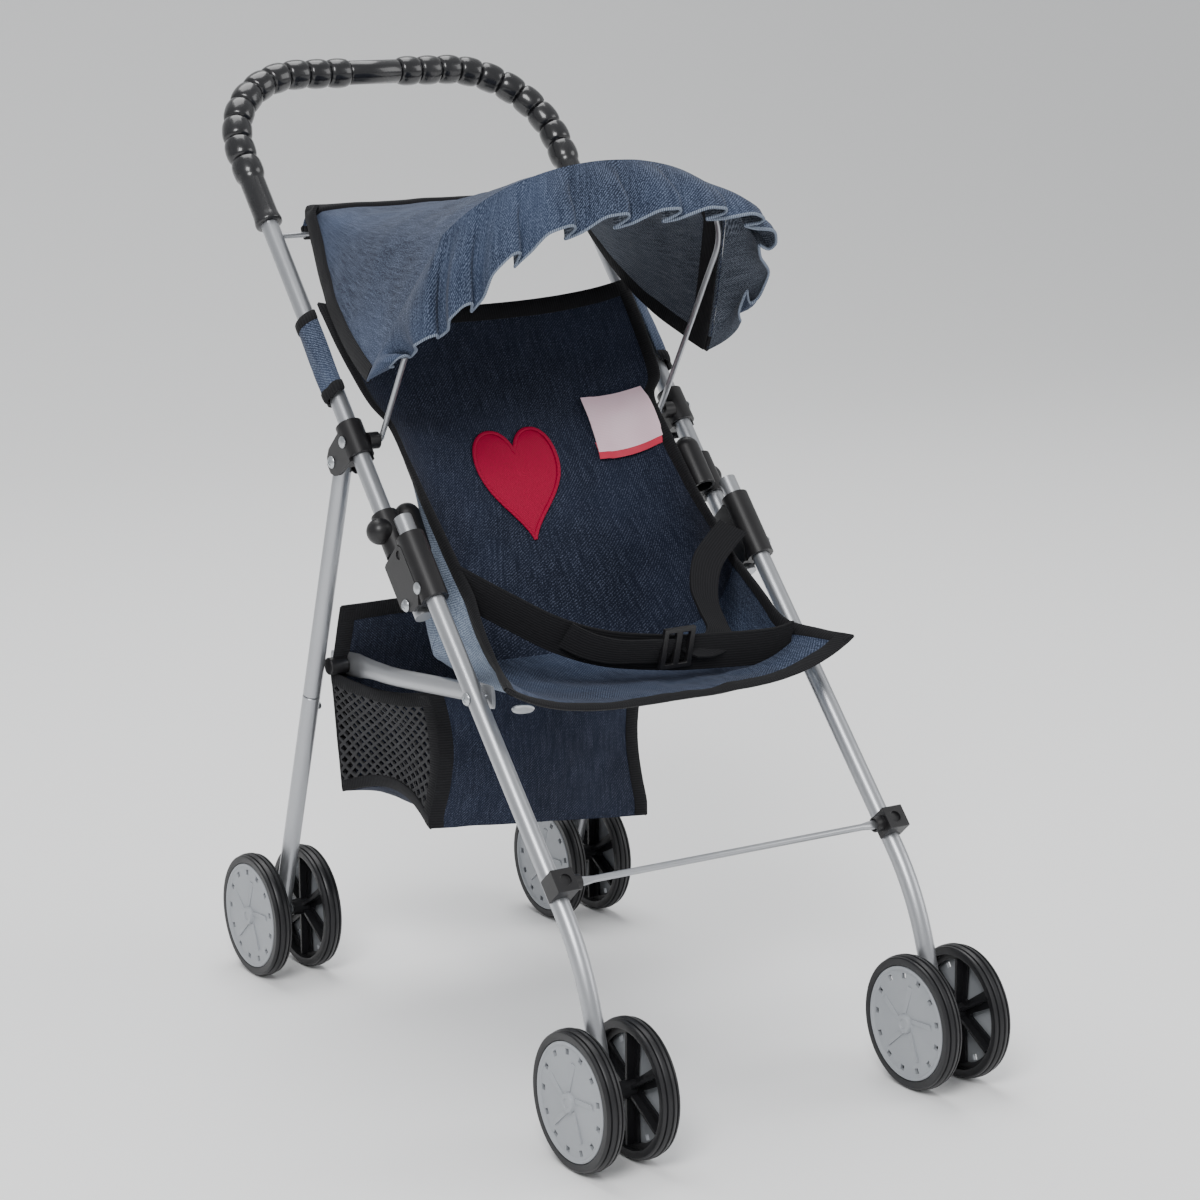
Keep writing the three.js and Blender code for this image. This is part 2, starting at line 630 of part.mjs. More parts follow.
// ---- basket: open box of cloth and mesh hung between the rear legs ----
const BASKET_HALF = 79.5;
const BASKET_WALL = 2.4;
const basketSide = (inset, lift) => {
  const shape = new THREE.Shape();
  shape.moveTo(41 + inset, 118 + inset);
  shape.lineTo(150 - inset, 118 + inset);
  shape.lineTo(106.5 - inset, 252 + lift);
  shape.lineTo(90 - inset, 246 + lift);
  shape.lineTo(41 + inset, 193 + lift);
  shape.closePath();
  const half = BASKET_HALF - inset;
  const geometry = new THREE.ExtrudeGeometry(shape, { depth: 2 * half, bevelEnabled: false });
  geometry.applyMatrix4(new THREE.Matrix4().makeBasis(V(0, 1, 0), V(0, 0, 1), X));
  geometry.translate(-half, 0, 0);
  return geometry;
};
put('basket', cut(basketSide(0, 0), basketSide(BASKET_WALL, 12)), 'denim');

// ---- canopy hood: cloth from the rear wire over the bow, with a ruffle along its front ----
const HOOD_COLS = 18;
const archPoint = (angle, half, foot, spread, rise, off, drop) => {
  const c = Math.cos(angle);
  const low = Math.max(0, Math.abs(c) - 0.92) / 0.08;
  return bowPoint(-half * c - Math.sign(c) * spread * low, foot + rise * Math.sin(angle) - drop * low, off);
};
const rearEdge = (u) => V(u * 95, 157, 494);
const hoodRows = [];
for (const v of [0, 0.25, 0.5, 0.75, 1]) {
  const row = [];
  for (let j = 0; j <= HOOD_COLS; j += 1) {
    const angle = Math.PI * j / HOOD_COLS;
    const arch = archPoint(angle, 106.4, 120, 14.6, 75.5, 0, 74);
    const point = rearEdge(-Math.cos(angle)).lerp(arch, v);
    const edge = Math.abs(Math.cos(angle)) ** 6;
    const sag = Math.sin(Math.PI * v);
    point.add(V(0, 8 * sag * edge, -11 * sag * edge - 6 * sag * (1 - edge)));
    row.push(point);
  }
  hoodRows.push(row);
}
for (const w of [0.5, 1]) {
  const row = [];
  for (let j = 0; j <= HOOD_COLS; j += 1) {
    const angle = Math.PI * j / HOOD_COLS;
    const seam = archPoint(angle, 106.4, 120, 14.6, 75.5, 0, 74);
    const free = V(-119 * Math.cos(angle), 8 - 60 * Math.sin(angle), 428 + 70 * Math.sin(angle) ** 0.8);
    const point = seam.lerp(free, w);
    point.add(V(0, -5 * Math.sin(Math.PI * w), 0));
    row.push(point);
  }
  hoodRows.push(row);
}
put('canopy_hood', cloth(hoodRows, 2.2), 'denimLight');

// ---- origin: centre of the footprint, on the floor ----
const box = new THREE.Box3().setFromObject(stroller);
const shift = V(-(box.min.x + box.max.x) / 2, -(box.min.y + box.max.y) / 2, -box.min.z);
for (const mesh of stroller.children) mesh.geometry.translate(shift.x, shift.y, shift.z);

export default stroller;
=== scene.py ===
import json
import math
import bmesh
import bpy
from mathutils import Matrix, Vector, noise


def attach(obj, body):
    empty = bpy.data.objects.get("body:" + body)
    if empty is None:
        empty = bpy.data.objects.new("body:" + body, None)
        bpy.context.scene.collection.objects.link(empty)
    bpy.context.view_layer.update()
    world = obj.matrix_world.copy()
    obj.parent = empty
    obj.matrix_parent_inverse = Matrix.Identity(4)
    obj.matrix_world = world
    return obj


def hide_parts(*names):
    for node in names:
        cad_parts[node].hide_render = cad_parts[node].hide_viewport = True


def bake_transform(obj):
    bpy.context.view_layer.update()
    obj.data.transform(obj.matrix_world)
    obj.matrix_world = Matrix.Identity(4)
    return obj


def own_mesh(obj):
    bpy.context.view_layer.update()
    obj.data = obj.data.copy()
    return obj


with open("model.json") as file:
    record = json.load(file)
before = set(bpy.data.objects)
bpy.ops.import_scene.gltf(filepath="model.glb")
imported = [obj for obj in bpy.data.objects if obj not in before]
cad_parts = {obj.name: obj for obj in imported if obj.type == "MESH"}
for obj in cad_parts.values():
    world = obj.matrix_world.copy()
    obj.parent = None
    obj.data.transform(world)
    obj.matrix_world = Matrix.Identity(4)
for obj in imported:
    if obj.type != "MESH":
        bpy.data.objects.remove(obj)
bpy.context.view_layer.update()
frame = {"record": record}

# Camera. Long lens from the stroller's left front, a little above the canopy's height.
camera = bpy.data.objects.new("camera", bpy.data.cameras.new("camera"))
camera.data.lens = 96.56
camera.data.sensor_width = 36
right, up = Vector((0.84334, -0.53735, -0.00586)), Vector((0.11760, 0.17390, 0.97772))
back = right.cross(up)
camera.matrix_world = Matrix((
    (right.x, up.x, back.x, -1.01097),
    (right.y, up.y, back.y, -1.61937),
    (right.z, up.z, back.z, 0.67487),
    (0, 0, 0, 1),
))
bpy.context.scene.collection.objects.link(camera)
bpy.context.scene.camera = camera

# Studio. White painted floor that curves up into the back wall, dim surround, three large soft boxes.
floor_mesh = bpy.data.meshes.new("floor")
sweep = [(-9, 0), (2, 0)]
sweep += [(2 + 3 * math.sin(a / 12), 3 - 3 * math.cos(a / 12)) for a in range(1, 19)]
sweep += [(5.1, 9)]
floor_mesh.from_pydata(
    [(x, y, z) for y, z in sweep for x in (-9, 9)], [],
    [(2 * i, 2 * i + 1, 2 * i + 3, 2 * i + 2) for i in range(len(sweep) - 1)],
)
floor_mesh.polygons.foreach_set("use_smooth", [True] * len(floor_mesh.polygons))
floor = bpy.data.objects.new("floor", floor_mesh)
bpy.context.scene.collection.objects.link(floor)
floor_paint = bpy.data.materials.new("floor_paint")
floor_paint.use_nodes = True
floor_paint.node_tree.nodes["Principled BSDF"].inputs["Base Color"].default_value = (0.92, 0.92, 0.92, 1)
floor_paint.node_tree.nodes["Principled BSDF"].inputs["Roughness"].default_value = 0.75
floor_mesh.materials.append(floor_paint)
world = bpy.data.worlds.new("studio")
world.use_nodes = True
world.node_tree.nodes["Background"].inputs["Color"].default_value = (0.97, 0.985, 1, 1)
world.node_tree.nodes["Background"].inputs["Strength"].default_value = 0.62
bpy.context.scene.world = world
for name, place, power, size in (
    ("key", (-1.5, -1.6, 2.2), 60, 1.1),
    ("fill", (2.0, -1.4, 1.3), 18, 1.4),
    ("top", (0.2, 0.9, 2.6), 46, 1.8),
):
    lamp = bpy.data.objects.new(name, bpy.data.lights.new(name, "AREA"))
    lamp.data.energy, lamp.data.size = power, size
    lamp.location = place
    lamp.rotation_euler = (Vector((0, 0, 0.28)) - Vector(place)).to_track_quat("-Z", "Y").to_euler()
    bpy.context.scene.collection.objects.link(lamp)


# Handle and legs. 11 mm steel tube, bent, pressed flat where a pin goes through, and sprayed with
# a fine silver powder coat. One U-shaped tube makes the handle; each leg is a tube of its own.
class Tap:
    """An output of a shader node; Python arithmetic on it adds Math nodes."""

    def __init__(self, tree, socket=None):
        self.tree, self.socket = tree, socket

    def node(self, kind, settings, inputs, output=0):
        made = self.tree.nodes.new("ShaderNode" + kind)
        for key, value in settings.items():
            if key == "stops":
                while len(made.color_ramp.elements) < len(value):
                    made.color_ramp.elements.new(0.5)
                for element, (place, shade) in zip(made.color_ramp.elements, value):
                    element.position, element.color = place, (*shade, 1)
            else:
                setattr(made, key, value)
        for key, value in inputs.items():
            if isinstance(value, Tap):
                self.tree.links.new(value.socket, made.inputs[key])
            else:
                made.inputs[key].default_value = value
        return Tap(self.tree, made.outputs[output])

    def math(self, operation, first, second=0.0):
        return self.node("Math", {"operation": operation}, {0: first, 1: second})

    def __add__(self, other):
        return self.math("ADD", self, other)

    def __radd__(self, other):
        return self.math("ADD", other, self)

    def __mul__(self, other):
        return self.math("MULTIPLY", self, other)

    def __rmul__(self, other):
        return self.math("MULTIPLY", other, self)

    def __gt__(self, other):
        return self.math("GREATER_THAN", self, other)

    def grain(self, scale, detail=2.0):
        return self.node("TexNoise", {}, {"Vector": self, "Scale": scale, "Detail": detail})

    def mix(self, dark, light):
        """A colour between two colours, by this value."""
        shades = {6: (*dark, 1) if isinstance(dark, tuple) else dark,
                  7: (*light, 1) if isinstance(light, tuple) else light}
        return self.node("Mix", {"data_type": "RGBA"}, {0: self, **shades}, 2)

    def band(self, low, high):
        """0 below low, 1 above high, a smooth step between."""
        return self.node("MapRange", {"interpolation_type": "SMOOTHSTEP"}, {0: self, 1: low, 2: high})

    def bump(self, strength, distance):
        return self.node("Bump", {}, {"Strength": strength, "Distance": distance, "Height": self})


def new_finish(name, **fixed):
    """A material, its shader's inputs, and the object and cloth coordinates in metres."""
    made = bpy.data.materials.new(name)
    made.use_nodes = True
    shader = made.node_tree.nodes["Principled BSDF"]
    for key, value in fixed.items():
        shader.inputs[key.replace("_", " ")].default_value = value
    start = Tap(made.node_tree)
    place = start.node("TexCoord", {}, {}, "Object")
    flat = start.node("TexCoord", {}, {}, "UV")
    return made, shader, place, flat


def feed(shader, **links):
    for key, tap in links.items():
        shader.id_data.links.new(tap.socket, shader.inputs[key.replace("_", " ")])


silver_coat, shader, place, _ = new_finish("silver_coat", Metallic=0.8, Coat_Weight=0.2, Coat_Roughness=0.15)
cloud = place.grain(18)
spray = place.grain(2600, 1)
feed(
    shader,
    Base_Color=(cloud * 0.5 + spray * 0.5).mix((0.33, 0.34, 0.36), (0.47, 0.48, 0.50)),
    Roughness=0.27 + 0.12 * cloud + 0.05 * spray,
    Normal=spray.bump(0.12, 0.0002),
)

record = frame["record"]
pivots = {j["name"]: Vector(j["pos_m"]) * 1000 for j in record["behaviour"]["joints"] if "pos_m" in j}
slides = {j["name"]: Vector(j["axis"]) for j in record["behaviour"]["joints"] if j["type"] == "slide"}
UP_TUBE = slides["collar_slide_left"].normalized()
OFF_TUBE = Vector((1, 0, 0)).cross(UP_TUBE)
TUBE_ORIGIN = pivots["handle_fold"] - 11 * UP_TUBE
TRACK = abs(pivots["rear_leg_fold_right"].x)
TUBE_R = 5.5
WIRE_R = 1.75
X = Vector((1, 0, 0))


def on_handle(along, off, x):
    """Millimetres up the handle tube, off its front, and across."""
    return TUBE_ORIGIN + along * UP_TUBE + off * OFF_TUBE + x * X


def bent(corners, radius, degrees=3):
    """A line with its inner corners rounded to a radius."""
    line = [corners[0]]
    for before, corner, after in zip(corners, corners[1:], corners[2:]):
        a, b = (before - corner).normalized(), (after - corner).normalized()
        turn = math.pi - a.angle(b)
        start = corner + a * radius * math.tan(turn / 2)
        centre = corner + (a + b).normalized() * radius / math.cos(turn / 2)
        steps = max(2, round(math.degrees(turn) / degrees))
        for k in range(steps + 1):
            angle = turn * k / steps
            line.append(centre + (start - centre) * math.cos(angle) - a * radius * math.sin(angle))
    return line + [corners[-1]]


def tube(line, side, size, sides=32, lift=0.0):
    """Round section along a line. size is a radius, or (across, along) half sizes for each point."""
    points, faces = [], []
    for i, p in enumerate(line):
        ahead = (line[min(i + 1, len(line) - 1)] - line[max(i - 1, 0)]).normalized()
        u = (side - ahead * side.dot(ahead)).normalized()
        w = ahead.cross(u)
        a, b = size[i] if isinstance(size, list) else (size, size)
        for k in range(sides):
            angle = 2 * math.pi * k / sides + lift
            points.append(p + u * a * math.cos(angle) + w * b * math.sin(angle))
    for i in range(len(line) - 1):
        for k in range(sides):
            m = (k + 1) % sides
            faces.append((i * sides + k, i * sides + m, (i + 1) * sides + m, (i + 1) * sides + k))
    last = (len(line) - 1) * sides
    faces += [tuple(range(sides - 1, -1, -1)), tuple(range(last, last + sides))]
    return points, faces


def rod(a, b, radius, sides=32):
    return tube([a, b], (b - a).orthogonal(), radius, sides)


def turned(origin, axis, profile, sides=48):
    """Solid of revolution; profile is (radius, distance along the axis)."""
    axis = axis.normalized()
    u = axis.orthogonal().normalized()
    w = axis.cross(u)
    points, faces, rings = [], [], []
    for r, h in profile:
        if r < 1e-6:
            rings.append([len(points)])
            points.append(origin + axis * h)
            continue
        rings.append(list(range(len(points), len(points) + sides)))
        for k in range(sides):
            angle = 2 * math.pi * k / sides
            points.append(origin + axis * h + (u * math.cos(angle) + w * math.sin(angle)) * r)
    closed = profile[0][0] > 1e-6
    for a, b in zip(rings, rings[1:] + rings[:1] if closed else rings[1:]):
        for k in range(sides):
            m = (k + 1) % sides
            corner = [a[k % len(a)], a[m % len(a)], b[m % len(b)], b[k % len(b)]]
            faces.append(tuple(dict.fromkeys(corner)))
    return points, faces


def joined(*shells):
    points, faces = [], []
    for p, f in shells:
        faces += [tuple(i + len(points) for i in face) for face in f]
        points += p
    return points, faces


def piece(name, body, shell, finish, nodes=(), sharp=38, uv=None, second=None):
    """A mesh object from points in millimetres, standing for CAD nodes. It rides on a body; given a tuple
    of two bodies and two places instead, it rides on none, with its placing baked into the mesh."""
    points, faces = shell
    mesh = bpy.data.meshes.new(name)
    mesh.from_pydata([p * 0.001 for p in points], [], faces)
    work = bmesh.new()
    work.from_mesh(mesh)
    bmesh.ops.recalc_face_normals(work, faces=work.faces)
    work.to_mesh(mesh)
    work.free()
    mesh.polygons.foreach_set("use_smooth", [True] * len(mesh.polygons))
    mesh.set_sharp_from_angle(angle=math.radians(sharp))
    mesh.materials.append(finish)
    if second:
        mesh.materials.append(second[0])
        for polygon in mesh.polygons:
            polygon.material_index = 1 if second[1](polygon.index) else 0
    if uv:
        layer = mesh.uv_layers.new(name="flat")
        for loop in mesh.loops:
            layer.data[loop.index].uv = uv[loop.vertex_index]
    made = bpy.data.objects.new(name, mesh)
    bpy.context.scene.collection.objects.link(made)
    if isinstance(body, tuple):
        body[2] * 0.001
        body[3] * 0.001
        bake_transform(made)
    else:
        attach(made, body)
    if nodes:
        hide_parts(*nodes)
    return made


HANDLE_TOP = 400.3
HANDLE_BEND = 61.5
handle_line = bent([on_handle(a, 0, x) for a, x in (
    (2, -TRACK), (HANDLE_TOP, -TRACK), (HANDLE_TOP, TRACK), (2, TRACK),
)], HANDLE_BEND)
handle_shell = tube(handle_line, OFF_TUBE, TUBE_R)
piece("handle_bent_tube", "handle_frame", handle_shell, silver_coat, ["handle_tube"])

FRONT_AXLE = pivots["wheel_front_right_outer_spin"]
REAR_AXLE = pivots["wheel_rear_right_outer_spin"]
REAR_TOP = pivots["rear_leg_fold_right"]
BAR_FRONT = pivots["seat_bar_fold_right"]
BAR_REAR = Vector((93.2, 118.7, 214.7))
LEG_OFF = 18.3
LEG_LOW = 2.8
KNEE = (-190.6, 109.7)
KNEE_BEND = 147
CROSSBAR_AT = (-166.2, 147.2)
SEAM_Z = 195


def mirrored(p, s):
    return Vector((s * p.x, p.y, p.z))


SIDES = (("left", "l", -1), ("right", "r", 1))
for side_name, tag, s in SIDES:
    top, low = on_handle(59.3, LEG_OFF, s * TRACK), on_handle(LEG_LOW, LEG_OFF, s * TRACK)
    knee = Vector((s * TRACK, *KNEE))
    foot = Vector((s * TRACK, FRONT_AXLE.y - 2.4, FRONT_AXLE.z - 8))
    leg_line = [top, low, *bent([low, knee, foot], KNEE_BEND)[1:]]
    sizes = [(TUBE_R, TUBE_R)] * (len(leg_line) - 1) + [(TUBE_R - 0.6, TUBE_R - 0.6)]
    leg = tube(leg_line, X, sizes)
    piece(f"front_leg_tube_{tag}", "front_frame", leg, silver_coat, [f"front_leg_{tag}"])

    rear_top, rear_foot = mirrored(REAR_TOP, s), mirrored(REAR_AXLE, s)
    down = (rear_foot - rear_top).normalized()
    seam = rear_top + down * ((REAR_TOP.z - SEAM_Z) / -down.z)
    rise = (seam - rear_top).length
    reach = (rear_foot - seam).length + 8
    body = f"rear_leg_{side_name}"
    upper = turned(seam, -down, [
        (0, 0), (5.1, 0), (TUBE_R, 0.5), (TUBE_R, rise + 2), (4.6, rise + 5), (0, rise + 5.6),
    ])
    lower = turned(seam, down, [
        (0, 0.5), (5.1, 0.5), (TUBE_R, 1.0), (TUBE_R, reach - 1), (4.6, reach), (0, reach),
    ])
    piece(f"rear_leg_top_tube_{tag}", body, upper, silver_coat, [f"rear_leg_upper_{tag}"])
    piece(f"rear_leg_foot_tube_{tag}", body, lower, silver_coat, [f"rear_leg_lower_{tag}"])

    bar_line = [Vector((s * x, y, z)) for x, y, z in (
        (107.4, BAR_FRONT.y - 7.7, 236.2), (107.4, BAR_FRONT.y + 6, 234.7),
        (105.4, -61, 233.6), (104, -54, 232.9),
        (102, -4, 227.1), (100.6, 40, 222.2), (99.6, 54, 220.8), (96, 80, 218.4),
        (94, 95, 216.9), (93.2, 103, 216.2), (93.2, 123, 214.3), (93.2, 140, 212.6),
    )]
    round_size = (TUBE_R, TUBE_R)
    flats = [(1.2, 6.6), (1.5, 7.7), (3.6, 6.9), round_size, round_size, round_size, round_size,
             (5.2, 5.8), (3.6, 6.9), (1.5, 7.7), (1.5, 7.7), (1.2, 6.6)]
    bar = tube(bar_line, X, flats)
    piece(f"seat_bar_tube_{tag}", f"seat_bar_{side_name}", bar, silver_coat, [f"seat_bar_{tag}"])

rod_ends = [TRACK - 22, TRACK - 16, TRACK - 9, TRACK - 6]
rod_line = [Vector((x, *CROSSBAR_AT)) for x in (*(-x for x in reversed(rod_ends)), 0, *rod_ends)]
rod_size = [(0.9, 3.2), (0.9, 3.2), (1.3, 2.8), (2, 2), (2, 2), (2, 2), (1.3, 2.8), (0.9, 3.2), (0.9, 3.2)]
crossbar = tube(rod_line, OFF_TUBE, rod_size, 20)
piece("crossbar_rod", "front_frame", crossbar, silver_coat, ["crossbar"])


# Canopy wires. 3.5 mm spring wire, silver coated: an arched bow hooked into the upper brackets,
# and a straight wire sprung between the handle tubes behind it.
BOW = pivots["canopy_bow_fold"]
BOW_UP = Vector((0, -0.512, 0.859))
BOW_BACK = Vector((0, 0.859, 0.512))
BOW_SHOULDER = 120
BACK_WIRE_AT = (275, 2)


def on_bow(x, rise, back_off=0.0):
    return BOW + rise * BOW_UP + back_off * BOW_BACK + x * X


bow_line = [on_bow(-107, 0), on_bow(-101.4, 0), on_bow(-100.4, 0.5), on_bow(-100, 1.4)]
for k in range(49):
    turn = math.pi * k / 48
    bow_line.append(on_bow(-100 * math.cos(turn), BOW_SHOULDER + 68 * math.sin(turn)))
bow_line += [on_bow(100, 1.4), on_bow(100.4, 0.5), on_bow(101.4, 0), on_bow(107, 0)]
bow_wire = tube(bow_line, BOW_BACK, WIRE_R, 16)
piece("canopy_bow_wire", "canopy_bow", bow_wire, silver_coat, ["canopy_bow"])
back_wire = rod(on_handle(*BACK_WIRE_AT, -TRACK + 3), on_handle(*BACK_WIRE_AT, TRACK - 3), WIRE_R, 16)
piece("canopy_back_wire", "handle_frame", back_wire, silver_coat, ["canopy_rear_wire"])


# Grips. Glossy black soft plastic: a smooth cuff, then a row of moulded beads round each bend, and
# a plain sleeve in the middle of the handle.
bead_gloss, shader, place, _ = new_finish(
    "bead_gloss", Specular_IOR_Level=0.5, Coat_Weight=0.35, Coat_Roughness=0.06,
)
smear = place.grain(60)
feed(
    shader,
    Base_Color=smear.mix((0.004, 0.004, 0.005), (0.010, 0.010, 0.012)),
    Roughness=0.18 + 0.16 * smear,
    Normal=place.grain(900).bump(0.04, 0.0003),
)
CUFF_START, BEADS_START, SLEEVE_HALF = 285.3, 320, 18
NECK_R, BEAD_RISE, BEAD_PITCH, BEAD_STEPS = 6.9, 2.7, 15, 15
for side_name, tag, s in SIDES:
    line = bent([
        on_handle(CUFF_START, 0, s * TRACK),
        on_handle(HANDLE_TOP, 0, s * TRACK),
        on_handle(HANDLE_TOP, 0, s * (SLEEVE_HALF + 0.3)),
    ], HANDLE_BEND, 2)
    steps = [0.0]
    for a, b in zip(line, line[1:]):
        steps.append(steps[-1] + (b - a).length)
    whole = steps[-1]
    cuff = BEADS_START - CUFF_START
    beads = round((whole - cuff) / BEAD_PITCH)
    pitch = (whole - cuff) / beads
    stations = [(0, 7.6), (0.5, 8.4), (2, 8.7), (5, 8.2), (8, 7.9), (cuff - 3, 7.9), (cuff - 1, 7.7)]
    for i in range(beads):
        for k in range(1, BEAD_STEPS + 1):
            t = k / BEAD_STEPS * 2 - 1
            swell = math.sqrt(max(0, 1 - abs(t) ** 2.4)) ** 0.9
            stations.append((cuff + (i + k / BEAD_STEPS) * pitch, NECK_R + BEAD_RISE * swell))
    stations[-1] = (whole, NECK_R)

    def on_line(distance):
        i = max(j for j, value in enumerate(steps) if value <= distance + 1e-6)
        if i == len(steps) - 1:
            return line[-1]
        return line[i].lerp(line[i + 1], (distance - steps[i]) / (steps[i + 1] - steps[i]))

    piece(f"grip_beads_{tag}", "handle_frame",
          tube([on_line(d) for d, _ in stations], OFF_TUBE, [(r, r) for _, r in stations], 28),
          bead_gloss, [f"grip_{side_name}"], sharp=70)
sleeve_profile = [
    (0, -SLEEVE_HALF), (7.2, -SLEEVE_HALF), (7.8, -SLEEVE_HALF + 0.8),
    (7.8, SLEEVE_HALF - 0.8), (7.2, SLEEVE_HALF), (0, SLEEVE_HALF),
]
piece("grip_middle_sleeve", "handle_frame", turned(on_handle(HANDLE_TOP, 0, 0), X, sleeve_profile),
      bead_gloss, ["grip_centre_sleeve"])


# Brackets, collars and fittings. Black injection-moulded nylon with slightly rounded edges: they
# clasp the tubes and are held by rivets. Each collar slides on the handle tube and locks over the
# top end of a front leg.
nylon, shader, place, _ = new_finish(
    "black_nylon", Specular_IOR_Level=0.4, Coat_Weight=0.05, Coat_Roughness=0.3,
)
skin = place.grain(1400, 3)
flow = place.grain(45)
feed(
    shader,
    Base_Color=flow.mix((0.005, 0.005, 0.006), (0.013, 0.012, 0.013)),
    Roughness=0.3 + 0.14 * flow + 0.05 * skin,
    Normal=skin.bump(0.10, 0.0003),
)


def plate(outline, x0, x1):
    """Flat outline of (along, off) corners in the handle's side plane, spread from x0 to x1."""
    n = len(outline)
    points = [on_handle(a, o, x) for x in (x0, x1) for a, o in outline]
    faces = [tuple(range(n - 1, -1, -1)), tuple(range(n, 2 * n))]
    return points, faces + [(k, (k + 1) % n, n + (k + 1) % n, n + k) for k in range(n)]


BOX_FACES = [(3, 2, 1, 0), (4, 5, 6, 7), (0, 1, 5, 4), (1, 2, 6, 5), (2, 3, 7, 6), (3, 0, 4, 7)]
BORE_R = TUBE_R + 0.25
SLOT_HALF = 5.9


def moulded(name, body, adds, cuts, finish, nodes, edge=0.5):
    """Shells joined and cut, with a small radius on the edges, as a moulded piece."""
    def temporary(shell):
        mesh = bpy.data.meshes.new("temporary")
        mesh.from_pydata(shell[0], [], shell[1])
        work = bmesh.new()
        work.from_mesh(mesh)
        bmesh.ops.recalc_face_normals(work, faces=work.faces)
        work.to_mesh(mesh)
        work.free()
        made = bpy.data.objects.new("temporary", mesh)
        bpy.context.scene.collection.objects.link(made)
        return made

    base = temporary(adds[0])
    others = [(temporary(shell), "UNION") for shell in adds[1:]]
    others += [(temporary(shell), "DIFFERENCE") for shell in cuts]
    for other, operation in others:
        step = base.modifiers.new(operation, "BOOLEAN")
        step.object, step.operation, step.solver = other, operation, "EXACT"
    soften = base.modifiers.new("edge", "BEVEL")
    soften.width, soften.segments, soften.angle_limit = edge, 2, math.radians(40)
    soften.use_clamp_overlap = True
    bpy.context.view_layer.update()
    mesh = bpy.data.meshes.new_from_object(base.evaluated_get(bpy.context.evaluated_depsgraph_get()))
    shell = [v.co.copy() for v in mesh.vertices], [tuple(p.vertices) for p in mesh.polygons]
    for made in [base, *(other for other, _ in others)]:
        bpy.data.objects.remove(made)
    moulding = piece(name, body, shell, finish, nodes, sharp=34)
    moulding.modifiers.new("even_shading", "WEIGHTED_NORMAL").keep_sharp = True
    return moulding


